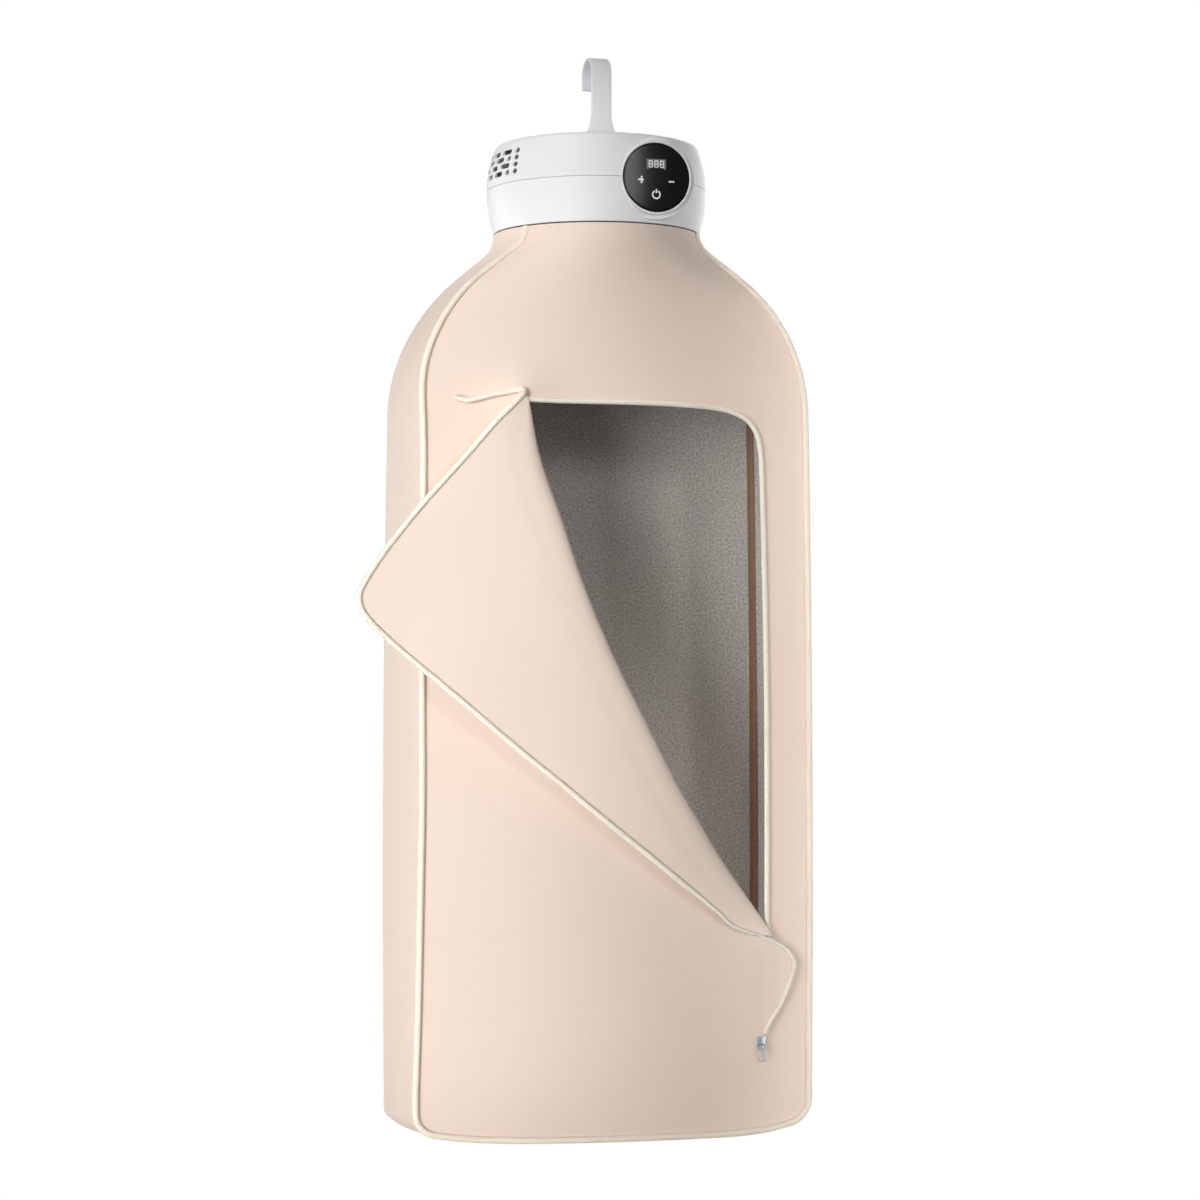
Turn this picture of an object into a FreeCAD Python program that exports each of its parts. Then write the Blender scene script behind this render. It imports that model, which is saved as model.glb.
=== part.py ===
import FreeCAD, Part
import math
import os
import Sketcher
from FreeCAD import Placement, Rotation, Vector

# A hanging clothes dryer: a blower head on a strap hook, with a zipped cloth bag below it.
# The origin is the axis of the rail that the hook hangs on. Front is -Y, up is +Z, millimetres.

doc = FreeCAD.newDocument("hanging_dryer")
sheet = doc.addObject("Spreadsheet::Sheet", "Sizes")

sizes = {
    # Hook
    "railRadius": 17, "strapThick": 4, "strapWidth": 23, "tipDrop": 12,
    "footTop": 44, "footWidth": 42, "footFront": 23, "footBack": 11, "footDrop": 72,
    "hookScrewReach": 8,
    # Head shells
    "rimDrop": 175, "rimRadius": 113.5, "seamRise": 47, "seamRadius": 121, "brimRise": 90,
    "brimRadius": 113.3, "topRise": 96, "topRadius": 107, "crownRise": 101, "shellWall": 2.5,
    "lowerBend": 150, "upperBend": 115, "brimBend": 7, "crownBend": 1147.4, "seamGap": 0.5,
    "skirtRadius": 109.2, "skirtDrop": 14, "outletRadius": 86, "padRadius": 24,
    "lipReach": 3, "columnRadius": 5, "columnPitch": 94, "screwRadius": 1.6,
    # Vents
    "slotHeight": 5.5, "slotLong": 17.8, "dotLong": 7, "rowPitch": 7.6, "firstRow": 81, "slotStep": 12,
    # Control panel
    "bossRadius": 44, "bossOffset": 32, "bossFace": 120, "bossStep": 6, "bossWall": 3.5, "bossDepth": 52,
    "bossRound": 3, "bezelRadius": 39.3, "bezelProud": 1.2, "glassRadius": 37.2, "glassThick": 2.4,
    "boardRadius": 33, "boardThick": 1.6, "displayWidth": 24, "displayHeight": 12,
    # Air path
    "grilleRadius": 92, "grilleThick": 3, "ductLength": 124, "ductWidth": 64, "ductWall": 2,
    "ductHeight": 24.8, "deckRise": 28.2, "deckThick": 2, "deckRadius": 116, "shroudRadius": 68,
    "shroudTop": 60, "impellerRadius": 66, "hubRadius": 16, "hubRise": 34, "hubHeight": 18,
    "shaftRadius": 2.5, "motorRadius": 19, "motorRise": 63, "motorHeight": 21, "bearingRadius": 5,
    # Garment rail
    "rodRadius": 4, "railHalf": 60, "railPivot": 11, "railDrop": 76, "lugThick": 7,
    # Bag
    "neckRadius": 113.5, "neckDrop": 178, "seamAngle": 57.5, "bagHalf": 219, "bagFront": 84,
    "bagBottom": 1153, "flareBend": 30, "shoulderBend": 186, "shoulderSlope": 53.3, "cloth": 2,
    "crown": 4, "pipingRadius": 3.75, "cornerBend": 24, "bottomSag": 6, "collarHeight": 14,
    # Door
    "zipRight": 159.5, "zipTop": 368.5, "zipLeft": 179, "zipEnd": 1064, "zipBend": 50, "cordRadius": 3,
    "cordApart": 8.4, "doorPlane": 87, "foldOffset": 6.5, "foldTop": 364, "foldLeft": 127.7,
    "foldRun": 289.2, "foldFall": 602, "flapLift": 5,
    # Zip slider
    "sliderHeight": 12.5, "sliderWidth": 12, "sliderPlate": 1.2, "pullLength": 14,
}
for row, (alias, value) in enumerate(sizes.items(), start=1):
    sheet.set("A%d" % row, alias)
    sheet.set("B%d" % row, str(value))
    sheet.setAlias("B%d" % row, alias)
doc.recompute()


class Dim:
    # A size with its number and the expression that gives it from the sheet.
    def __init__(self, number, text):
        self.number = number
        self.text = text

    def __add__(self, other):
        other = dim(other)
        return Dim(self.number + other.number, "(%s + %s)" % (self.text, other.text))

    def __sub__(self, other):
        other = dim(other)
        return Dim(self.number - other.number, "(%s - %s)" % (self.text, other.text))

    def __mul__(self, factor):
        return Dim(self.number * factor, "(%s * %s)" % (self.text, factor))

    def __neg__(self):
        return Dim(-self.number, "(-1 * %s)" % self.text)


def dim(value):
    return value if isinstance(value, Dim) else Dim(value, repr(value))


def size(alias):
    return Dim(sizes[alias], "Sizes." + alias)


def bind(item, prop, value):
    item.setExpression(prop, dim(value).text)


nodes = []


def node(item, label):
    item.Label = label
    nodes.append(item)
    return item


turns = {
    "Z": Rotation(),
    "Y": Rotation(Vector(1, 0, 0), -90),
    "-Y": Rotation(Vector(1, 0, 0), 90),
    "X": Rotation(Vector(0, 1, 0), 90),
}


def place(item, at, rotation=None):
    if rotation is not None:
        item.Placement.Rotation = rotation
    for axis, value in zip("xyz", at):
        bind(item, "Placement.Base." + axis, value)


def cylinder(name, radius, height, at, axis="Z"):
    item = doc.addObject("Part::Cylinder", name)
    bind(item, "Radius", radius)
    bind(item, "Height", height)
    place(item, at, turns[axis])
    return item


def box(name, length, width, height, at):
    item = doc.addObject("Part::Box", name)
    bind(item, "Length", length)
    bind(item, "Width", width)
    bind(item, "Height", height)
    place(item, at)
    return item


def joined(name, items):
    item = doc.addObject("Part::MultiFuse", name)
    item.Shapes = items
    return item


def group(name, items):
    item = doc.addObject("Part::Compound", name)
    item.Links = items
    return item


def cut(name, base, tool):
    item = doc.addObject("Part::Cut", name)
    item.Base = base
    item.Tool = tool
    return item


def common(name, base, tool):
    item = doc.addObject("Part::Common", name)
    item.Base = base
    item.Tool = tool
    return item


def shape_node(label, shape, placement=None):
    item = doc.addObject("Part::Feature", label)
    item.Shape = shape
    if placement is not None:
        item.Placement = placement
    return node(item, label)


def body_plane(body, role):
    return [item for item in body.Origin.OriginFeatures if item.Role == role][0]


def outline_sketch(body, name, role, outline):
    # Each entry is (x, y) or (x, y, bend): bend is the radius of an arc to the next point,
    # with its centre on the left of the run, or on the right when the bend is negative.
    sketch = body.newObject("Sketcher::SketchObject", name)
    sketch.AttachmentSupport = [(body_plane(body, role), "")]
    sketch.MapMode = "FlatFace"
    corners = [Vector(dim(entry[0]).number, dim(entry[1]).number, 0) for entry in outline]
    starts = []
    for index, entry in enumerate(outline):
        first = corners[index]
        second = corners[(index + 1) % len(corners)]
        if len(entry) == 2:
            edge = sketch.addGeometry(Part.LineSegment(first, second))
            starts.append((edge, 1, 2))
            continue
        bend = dim(entry[2]).number
        run = second - first
        reach = math.sqrt(bend ** 2 - (run.Length / 2) ** 2)
        side = Vector(-run.y, run.x, 0).normalize() * math.copysign(reach, bend)
        middle = (first + second) * 0.5 + side
        begin, end = (first, second) if bend > 0 else (second, first)
        low = math.atan2(begin.y - middle.y, begin.x - middle.x)
        high = math.atan2(end.y - middle.y, end.x - middle.x)
        if high < low:
            high += 2 * math.pi
        circle = Part.Circle(middle, Vector(0, 0, 1), abs(bend))
        edge = sketch.addGeometry(Part.ArcOfCircle(circle, low, high))
        starts.append((edge, 1, 2) if bend > 0 else (edge, 2, 1))
    for index, (edge, start, end) in enumerate(starts):
        following = starts[(index + 1) % len(starts)]
        sketch.addConstraint(Sketcher.Constraint("Coincident", edge, end, following[0], following[1]))
        entry = outline[index]
        for kind, axis, value in (("DistanceX", -2, dim(entry[0])), ("DistanceY", -1, dim(entry[1]))):
            if abs(value.number) < 1e-9:
                sketch.addConstraint(Sketcher.Constraint("PointOnObject", edge, start, axis))
                continue
            rule = sketch.addConstraint(Sketcher.Constraint(kind, -1, 1, edge, start, value.number))
            sketch.renameConstraint(rule, "%s%d" % (kind, index))
            sketch.setExpression("Constraints.%s%d" % (kind, index), value.text)
        if len(entry) == 3:
            bend = dim(entry[2])
            bend = bend if bend.number > 0 else -bend
            rule = sketch.addConstraint(Sketcher.Constraint("Radius", edge, bend.number))
            sketch.renameConstraint(rule, "Bend%d" % index)
            sketch.setExpression("Constraints.Bend%d" % index, bend.text)
    return sketch


def revolved(name, outline, lift):
    # A body turned about the Z axis; the outline is (radius, rise above lift).
    body = doc.addObject("PartDesign::Body", name)
    sketch = outline_sketch(body, name + "_outline", "XZ_Plane", outline)
    turn = body.newObject("PartDesign::Revolution", name + "_turn")
    turn.Profile = sketch
    turn.ReferenceAxis = (sketch, ["V_Axis"])
    turn.Angle = 360
    place(body, (0, 0, lift))
    return body


def padded(name, role, outline, length, at, midplane=False, reverse=False):
    body = doc.addObject("PartDesign::Body", name)
    sketch = outline_sketch(body, name + "_outline", role, outline)
    pad = body.newObject("PartDesign::Pad", name + "_pad")
    pad.Profile = sketch
    pad.Midplane = midplane
    pad.Reversed = reverse
    bind(pad, "Length", length)
    place(body, at)
    return body


rim = -size("rimDrop")

# Hook: a flat strap that curls backwards over the rail, on a flared foot

rail_outer = size("railRadius") + size("strapThick")
foot_drop = size("footDrop")
strap = padded("hook_strap", "YZ_Plane", [
    (-rail_outer, -foot_drop),
    (-size("railRadius"), -foot_drop),
    (-size("railRadius"), 0, -size("railRadius")),
    (0, size("railRadius"), -size("railRadius")),
    (size("railRadius"), 0),
    (size("railRadius"), -size("tipDrop")),
    (rail_outer, -size("tipDrop")),
    (rail_outer, 0, rail_outer),
    (0, rail_outer, rail_outer),
    (-rail_outer, 0),
], size("strapWidth"), (0, 0, 0), midplane=True)


def rectangle_wire(half, front, back, z):
    corners = [Vector(-half, front, z), Vector(half, front, z), Vector(half, back, z), Vector(-half, back, z)]
    return Part.makePolygon(corners + corners[:1])


foot_rise = sizes["footDrop"] - sizes["footTop"]
foot_rings = []
for share in (0, 0.35, 0.7, 1):
    spread = share ** 2
    half = (sizes["strapWidth"] + (sizes["footWidth"] - sizes["strapWidth"]) * spread) / 2
    front = -(rail_outer.number + (sizes["footFront"] - rail_outer.number) * spread)
    back = -(sizes["railRadius"] + (sizes["footBack"] - sizes["railRadius"]) * spread)
    foot_rings.append(rectangle_wire(half, front, back, -sizes["footTop"] - foot_rise * share))
foot = doc.addObject("Part::Feature", "hook_foot")
foot.Shape = Part.makeLoft(foot_rings, True)


def hook_screw_place(side):
    return (size("hookScrewReach") * side, -size("railRadius"))


pilot_gap = 0.05
hook_pilots = group("hook_pilots", [
    cylinder("hook_pilot", size("screwRadius") + pilot_gap, 40, (*hook_screw_place(side), -foot_drop - 28))
    for side in (-1, 1)])
node(cut("hook_piece", joined("hook_blank", [strap, foot]), hook_pilots), "hook")

# Head: a barrel of two shells with a round control boss at the front right

wall = size("shellWall")
seam = size("seamRise")
boss_at = (size("bossOffset"), -size("bossFace"), rim + seam)
head_outer = revolved("head_outer", [
    (0, -size("skirtDrop")),
    (size("skirtRadius"), -size("skirtDrop")),
    (size("skirtRadius"), 0),
    (size("rimRadius"), 0, size("lowerBend")),
    (size("seamRadius"), seam, size("upperBend")),
    (size("brimRadius"), size("brimRise"), size("brimBend")),
    (size("topRadius"), size("topRise"), size("crownBend")),
    (0, size("crownRise")),
], rim)
head_inner = revolved("head_inner", [
    (0, wall),
    (size("rimRadius") - wall, wall, size("lowerBend")),
    (size("seamRadius") - wall, seam, size("upperBend")),
    (size("brimRadius") - wall, size("brimRise") - 1, size("brimBend")),
    (size("topRadius") - wall, size("topRise") - wall),
    (0, size("crownRise") - wall),
], rim)
boss_front = boss_at[1] + size("bossStep")
boss_blank = cylinder("boss_blank", size("bossRadius"), size("bossDepth"), (boss_at[0], boss_front, boss_at[2]), "Y")
boss_round = doc.addObject("Part::Fillet", "boss_round")
boss_round.Base = boss_blank
front_edge = 3
boss_round.Edges = [(front_edge, sizes["bossRound"], sizes["bossRound"])]
boss_inner = cylinder("boss_inner", size("bossRadius") - size("bossWall"), size("bossDepth"),
                      (boss_at[0], boss_front + size("bossWall"), boss_at[2]), "Y")
glass_hole = cylinder("glass_hole", size("bezelRadius") + 0.1, size("bossStep") + size("bossWall") * 3,
                      (boss_at[0], boss_at[1] - size("bossWall"), boss_at[2]), "Y")
outlet_hole = cylinder("outlet_hole", size("outletRadius"), size("skirtDrop") * 2,
                       (0, 0, rim - size("skirtDrop")))
skirt_hole = cylinder("skirt_hole", size("skirtRadius") - wall, size("skirtDrop") + 1,
                      (0, 0, rim - size("skirtDrop") - 1))
hook_pad = cylinder("hook_pad", size("padRadius"), wall * 2, (0, -size("railRadius"), -foot_drop - wall * 2))
head_skin = cut("head_skin", joined("head_solid", [head_outer, boss_round, hook_pad]),
                joined("head_hollow", [head_inner, boss_inner, glass_hole, outlet_hole, skirt_hole]))

reach = 320
column_angles = (40, 140, 220, -8)


def ring_place(radius, angle, z):
    turn = math.radians(angle)
    return (radius * round(math.cos(turn), 6), radius * round(math.sin(turn), 6), z)


def columns(name, radius, rise, height, angles=column_angles):
    return [cylinder("%s%d" % (name, index), radius, height,
                     ring_place(size("columnPitch"), angle, rim + rise))
            for index, angle in enumerate(angles)]


lower_space = box("lower_space", reach, reach, size("skirtDrop") + 5 + seam - size("seamGap") * 0.5,
                  (-reach / 2, -reach / 2, rim - size("skirtDrop") - 5))
upper_space = box("upper_space", reach, reach, seam * 2,
                  (-reach / 2, -reach / 2, rim + seam + size("seamGap") * 0.5))
lip_outer = size("seamRadius") - wall
seam_lip = revolved("seam_lip", [
    (lip_outer - size("lipReach"), seam - 7),
    (lip_outer + 1, seam - 7),
    (lip_outer + 1, seam - 1),
    (lip_outer - 0.4, seam - 0.6),
    (lip_outer - 0.4, seam + size("lipReach")),
    (lip_outer - size("lipReach"), seam + size("lipReach")),
], rim)
seam_lip_open = cut("seam_lip_open", seam_lip, joined("lip_gap", [boss_blank, glass_hole]))
column_top = seam - 2
counterbore = size("columnRadius") - 1.2
lower_bores = columns("lower_bore", counterbore, -1, column_top - 8)
lower_bores += columns("lower_pass", size("screwRadius") + pilot_gap, 0, seam)
gland_rise = 15
gland_radius = 7
lower_bores.append(cylinder("gland_hole", gland_radius + 0.1, 30, (0, 100, rim + gland_rise), "Y"))
grille_screw_reach = (size("outletRadius") + size("grilleRadius")) * 0.5
grille_screw_angles = (0, 90, 180, 270)
lower_bores += [cylinder("grille_pilot", size("screwRadius") + pilot_gap, 20,
                         ring_place(grille_screw_reach, angle, rim - 5)) for angle in grille_screw_angles]
lower_blank = joined("lower_blank", [common("lower_skin", head_skin, lower_space), seam_lip_open]
                     + columns("lower_column", size("columnRadius"), 1.5, column_top - 1.5))
node(cut("lower_piece", lower_blank, group("lower_bores", lower_bores)), "lower_shell")


def slot_prism(length, height, depth):
    # A round-ended slot that points along X, cut through the shell's side.
    edge = (length - height) / 2
    round_end = height / 2
    if edge < 1e-6:
        return Part.makeCylinder(round_end, depth, Vector(0, 0, 0), Vector(1, 0, 0))
    top_left, top_right = Vector(0, -edge, round_end), Vector(0, edge, round_end)
    low_left, low_right = Vector(0, -edge, -round_end), Vector(0, edge, -round_end)
    sides = [
        Part.LineSegment(top_left, top_right).toShape(),
        Part.Arc(top_right, Vector(0, edge + round_end, 0), low_right).toShape(),
        Part.LineSegment(low_right, low_left).toShape(),
        Part.Arc(low_left, Vector(0, -edge - round_end, 0), top_left).toShape(),
    ]
    return Part.Face(Part.Wire(sides)).extrude(Vector(depth, 0, 0))


def vent_cutters():
    # Four staggered rows on the left side; a dot ends each row, and two dots end the short rows.
    cutters = []
    step = sizes["slotStep"]
    inside = sizes["columnPitch"] + sizes["columnRadius"] + 2
    last_dot = 27.2
    for row in range(4):
        if row % 2 == 0:
            longs = [-1.5 * step, -0.5 * step, 0.5 * step, 1.5 * step]
            dots = [-last_dot, last_dot]
        else:
            longs = [-step, 0, step]
            dots = [-last_dot, -1.75 * step, 1.75 * step, last_dot]
        height = sizes["firstRow"] - row * sizes["rowPitch"] - sizes["rimDrop"]
        for angle, length in [(a, sizes["slotLong"]) for a in longs] + [(a, sizes["dotLong"]) for a in dots]:
            prism = slot_prism(length, sizes["slotHeight"], 30)
            prism.translate(Vector(inside, 0, height))
            prism.rotate(Vector(0, 0, 0), Vector(0, 0, 1), 180 + angle)
            cutters.append(prism)
    return Part.makeCompound(cutters)


vents = doc.addObject("Part::Feature", "vents")
vents.Shape = vent_cutters()
upper_blank = joined("upper_blank", [common("upper_skin", head_skin, upper_space)]
                     + columns("upper_column", size("columnRadius"), seam + 1.5, size("topRise") - seam - 2))
upper_bores = columns("upper_pilot", size("screwRadius") + pilot_gap, seam, 26)
upper_open = cut("upper_open", upper_blank, vents)
node(cut("upper_piece", upper_open, group("upper_bores", upper_bores + [hook_pilots])), "upper_shell")


def screw(name, at, shank, head_radius=3.2, head=2.2, flip=False):
    # A pan-head screw along Z: the head starts at the given point and the shank goes up, or down.
    x, y, z = at
    head_z = dim(z) - head if flip else dim(z)
    shank_z = dim(z) - head - shank if flip else dim(z) + head
    top = cylinder(name + "_head", head_radius, head, (x, y, head_z))
    pin = cylinder(name + "_shank", size("screwRadius"), shank, (x, y, shank_z))
    return joined(name, [top, pin])


seat = column_top - 9
node(group("housing_screw_set", [
    screw("housing_screw", ring_place(size("columnPitch"), angle, rim + seat - 2.2), 28)
    for angle in column_angles]), "housing_screws")
hook_seat = -foot_drop - wall * 2 - 3.6
node(group("hook_screw_set", [
    screw("hook_screw", (*hook_screw_place(side), hook_seat), 15) for side in (-1, 1)]), "hook_screws")

# Control panel: glass in a ring, with the display, touch pads and board behind it

panel_back = 10
ring_inner = size("glassRadius") + 0.1
bezel = revolved("bezel_piece", [
    (size("boardRadius") + 1.2, 0),
    (size("boardRadius") + 3, 0),
    (size("boardRadius") + 3, 1.5),
    (size("bezelRadius"), 1.5),
    (size("bezelRadius"), size("bezelProud") + panel_back),
    (ring_inner, size("bezelProud") + panel_back),
    (ring_inner, 8.2),
    (size("boardRadius") + 1.2, 8.2),
], 0)
place(bezel, (boss_at[0], boss_at[1] + panel_back, boss_at[2]), turns["-Y"])
node(bezel, "control_bezel")
glass_back = boss_at[1] + panel_back - 8.2
node(cylinder("glass_piece", size("glassRadius"), size("glassThick"),
              (boss_at[0], glass_back, boss_at[2]), "-Y"), "control_glass")
board_front = boss_at[1] + 7.4
node(cylinder("control_board_piece", size("boardRadius") + 0.9, size("boardThick"),
              (boss_at[0], board_front, boss_at[2]), "Y"), "control_board")
gap_depth = board_front - glass_back - 0.1
display_rise = 14.5
node(box("display_piece", size("displayWidth"), gap_depth, size("displayHeight"),
         (boss_at[0] - size("displayWidth") * 0.5, glass_back + 0.05,
          boss_at[2] + display_rise - size("displayHeight") * 0.5)), "display_module")
key_places = ((-15.5, -2.6), (16.5, -3.6), (0.5, -18.5))
node(group("touch_pad_set", [
    cylinder("touch_pad", 4.5, gap_depth, (boss_at[0] + x, glass_back + 0.05, boss_at[2] + z), "Y")
    for x, z in key_places]), "touch_pads")

# Air path: dust screen, fan in its shroud, heater in its duct, outlet grille

screen_radius = 106
screen_tube = cut("screen_tube", cylinder("screen_outer", screen_radius + 0.8, 40, (0, 0, rim + 52)),
                  cylinder("screen_bore", screen_radius, 40, (0, 0, rim + 52)))
screen_side = 59
node(common("screen_piece", screen_tube,
            box("screen_space", 60, screen_side * 2, 40, (-screen_radius - 4, -screen_side, rim + 52))),
     "intake_screen")

deck = size("deckRise")
shroud_outer = size("shroudRadius") + 2
shroud_body = revolved("shroud_body", [
    (size("shroudRadius"), deck),
    (size("deckRadius"), deck),
    (size("deckRadius"), deck + size("deckThick")),
    (shroud_outer, deck + size("deckThick")),
    (shroud_outer, size("shroudTop")),
    (size("shroudRadius"), size("shroudTop")),
], rim)
bracket_reach = 73
bracket_angles = (90, 210, 330)
board_rise = 38
stud_places = [(x, y) for x in (-28, 28) for y in (83, 104)]
posts = [cylinder("bracket_post", 4, size("shroudTop") - deck - 1,
                  ring_place(dim(bracket_reach), angle, rim + deck + 1)) for angle in bracket_angles]
posts += [cylinder("board_post", 3, dim(board_rise) - deck - 1, (x, y, rim + deck + 1)) for x, y in stud_places]
post_bores = [cylinder("bracket_pilot", size("screwRadius") + pilot_gap, 16,
                       ring_place(dim(bracket_reach), angle, rim + size("shroudTop") - 14))
              for angle in bracket_angles]
post_bores += [cylinder("board_pilot", size("screwRadius") + pilot_gap, 12, (x, y, rim + board_rise - 7))
               for x, y in stud_places]
post_bores += columns("deck_hole", size("columnRadius") + 0.5, deck - 3, 10)
post_bores.append(box("deck_notch", reach, 60, 20, (-reach / 2, -158, rim + deck - 5)))
node(cut("shroud_piece", joined("shroud_blank", [shroud_body] + posts), group("post_bores", post_bores)),
     "fan_shroud")


def impeller_shape():
    # Seven pitched blades on a hub, trimmed to the fan's circle.
    base = sizes["hubRise"] - sizes["rimDrop"]
    hub = Part.makeCylinder(sizes["hubRadius"], sizes["hubHeight"], Vector(0, 0, base))
    blades = []
    chord, thick, pitch = 26, 2, 36
    for index in range(7):
        blade = Part.makeBox(sizes["impellerRadius"], chord, thick, Vector(8, -chord / 2, -thick / 2))
        blade.rotate(Vector(0, 0, 0), Vector(1, 0, 0), pitch)
        blade.translate(Vector(0, 0, base + sizes["hubHeight"] / 2))
        blade.rotate(Vector(0, 0, 0), Vector(0, 0, 1), index * 360 / 7)
        blades.append(blade)
    space = Part.makeCylinder(sizes["impellerRadius"], sizes["hubHeight"], Vector(0, 0, base))
    bore = Part.makeCylinder(sizes["shaftRadius"] + 0.02, sizes["hubHeight"] * 2, Vector(0, 0, base - 5))
    return hub.multiFuse(blades).common(space).cut(bore)


shape_node("impeller", impeller_shape())
motor_base = rim + size("motorRise")
shaft_base = rim + size("hubRise") + 2
node(cylinder("shaft_piece", size("shaftRadius"), size("motorRise") + size("motorHeight") - size("hubRise") - 2,
              (0, 0, shaft_base)), "motor_shaft")
end_wall = 3.5
can_blank = cylinder("can_blank", size("motorRadius"), size("motorHeight"), (0, 0, motor_base))
can_hollow = joined("can_hollow", [
    cylinder("can_cavity", size("motorRadius") - 4, size("motorHeight") - end_wall * 2,
             (0, 0, motor_base + end_wall)),
    cylinder("can_bore", size("bearingRadius") + 0.02, size("motorHeight") + 4, (0, 0, motor_base - 2))])
node(cut("can_piece", can_blank, can_hollow), "motor_can")


def bush(name, outer, inner, height, z):
    return cut(name, cylinder(name + "_outer", outer, height, (0, 0, z)),
               cylinder(name + "_bore", inner, height + 2, (0, 0, z - 1)))


running = size("shaftRadius") + 0.04
node(group("bearing_set", [
    bush("front_bearing", size("bearingRadius"), running, dim(end_wall), motor_base),
    bush("rear_bearing", size("bearingRadius"), running, dim(end_wall),
         motor_base + size("motorHeight") - end_wall)]), "motor_bearings")
node(bush("rotor_piece", size("motorRadius") - 8, size("shaftRadius") + 0.02, size("motorHeight") - 12,
          motor_base + 6), "motor_rotor")
bracket_z = rim + size("shroudTop")
arms = []
for angle in bracket_angles:
    arm = box("bracket_arm", bracket_reach + 5, 9, size("motorRise") - size("shroudTop"),
              (dim(4.5) * round(math.sin(math.radians(angle)), 6),
               dim(-4.5) * round(math.cos(math.radians(angle)), 6), bracket_z))
    arm.Placement.Rotation = Rotation(Vector(0, 0, 1), angle)
    arms.append(arm)
arms.append(cylinder("bracket_plate", size("motorRadius") + 2, size("motorRise") - size("shroudTop"),
                     (0, 0, bracket_z)))
bracket_bores = [cylinder("bracket_hole", size("screwRadius") + 0.15, 10,
                          ring_place(dim(bracket_reach), angle, bracket_z - 3)) for angle in bracket_angles]
bracket_bores.append(cylinder("bracket_centre", 8, 10, (0, 0, bracket_z - 3)))
node(cut("bracket_piece", joined("bracket_blank", arms), group("bracket_bores", bracket_bores)),
     "motor_bracket")
node(group("motor_screw_set", [
    screw("motor_screw", ring_place(dim(bracket_reach), angle, motor_base + 2.2), 14, flip=True)
    for angle in bracket_angles]), "motor_screws")

duct_z = rim + size("grilleThick") + 0.2
inner_length = size("ductLength") - size("ductWall") * 2
inner_width = size("ductWidth") - size("ductWall") * 2
node(cut("duct_piece", box("duct_outer", size("ductLength"), size("ductWidth"), size("ductHeight"),
                           (size("ductLength") * -0.5, size("ductWidth") * -0.5, duct_z)),
         box("duct_inner", inner_length, inner_width, size("ductHeight") + 2,
             (inner_length * -0.5, inner_width * -0.5, duct_z - 1))), "heater_duct")


def heater_shape():
    # Four banks of fins between three heating bars, open to the air from above.
    length, width, height = inner_length.number - 0.6, inner_width.number - 0.6, 18
    base = duct_z.number + 3
    core = Part.makeBox(length, width, height, Vector(-length / 2, -width / 2, base))
    banks, gaps = 4, 18
    gap_length, gap_width = 4, 9.5
    holes = []
    for bank in range(banks):
        for index in range(gaps):
            x = (index + 0.5) * length / gaps - length / 2
            y = (bank + 0.5) * width / banks - width / 2
            holes.append(Part.makeBox(gap_length, gap_width, height + 2,
                                      Vector(x - gap_length / 2, y - gap_width / 2, base - 1)))
    return core.cut(Part.makeCompound(holes))


shape_node("heater_core", heater_shape())
node(box("cutout_piece", 6, 14, 9, (size("ductLength") * 0.5 + 0.2, -7, duct_z + 9)), "thermal_cutout")


def grille_cutters():
    # Ring slots between eight spokes.
    base = -sizes["rimDrop"] - sizes["grilleThick"] - 1
    depth = sizes["grilleThick"] * 2 + 2
    slots = []
    for radius in (14, 24, 34, 44, 54, 64, 74):
        ring = Part.makeCylinder(radius + 6, depth, Vector(0, 0, base))
        slots.append(ring.cut(Part.makeCylinder(radius, depth, Vector(0, 0, base))))
    spokes = []
    for index in range(8):
        spoke = Part.makeBox(90, 4, depth + 2, Vector(0, -2, base - 1))
        spoke.rotate(Vector(0, 0, 0), Vector(0, 0, 1), index * 45)
        spokes.append(spoke)
    return Part.makeCompound(slots).cut(Part.makeCompound(spokes))


grille_slots = doc.addObject("Part::Feature", "grille_slots")
grille_slots.Shape = grille_cutters()
grille_disc = [
    cylinder("grille_rim", size("grilleRadius"), size("grilleThick"), (0, 0, rim - size("grilleThick"))),
    cylinder("grille_plug", size("outletRadius") - 0.3, size("grilleThick"), (0, 0, rim))]
pivot_z = rim - size("railPivot")
lug_inner = size("railHalf") + 6.5
lug_half = 7
lugs = [box("rail_lug", lug_half * 2, size("lugThick"), size("railPivot") + 4,
            (-lug_half, y, pivot_z - lug_half)) for y in (lug_inner, -lug_inner - size("lugThick"))]
lug_bore = cylinder("lug_bore", size("rodRadius") + 0.05, 200, (0, -100, pivot_z), "Y")
grille_bores = [lug_bore] + [
    cylinder("grille_hole", size("screwRadius") + 0.15, 10, ring_place(grille_screw_reach, angle, rim - 5))
    for angle in grille_screw_angles]
grille_blank = joined("grille_blank", [cut("grille_open", joined("grille_solid", grille_disc), grille_slots)]
                      + lugs)
node(cut("grille_piece", grille_blank, group("grille_bores", grille_bores)), "outlet_grille")
node(group("grille_screw_set", [
    screw("grille_screw", ring_place(grille_screw_reach, angle, rim - size("grilleThick") - 2.2), 5.4)
    for angle in grille_screw_angles]), "grille_screws")

# Power board on posts above the deck, and the gland for the supply cord at the back

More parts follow.
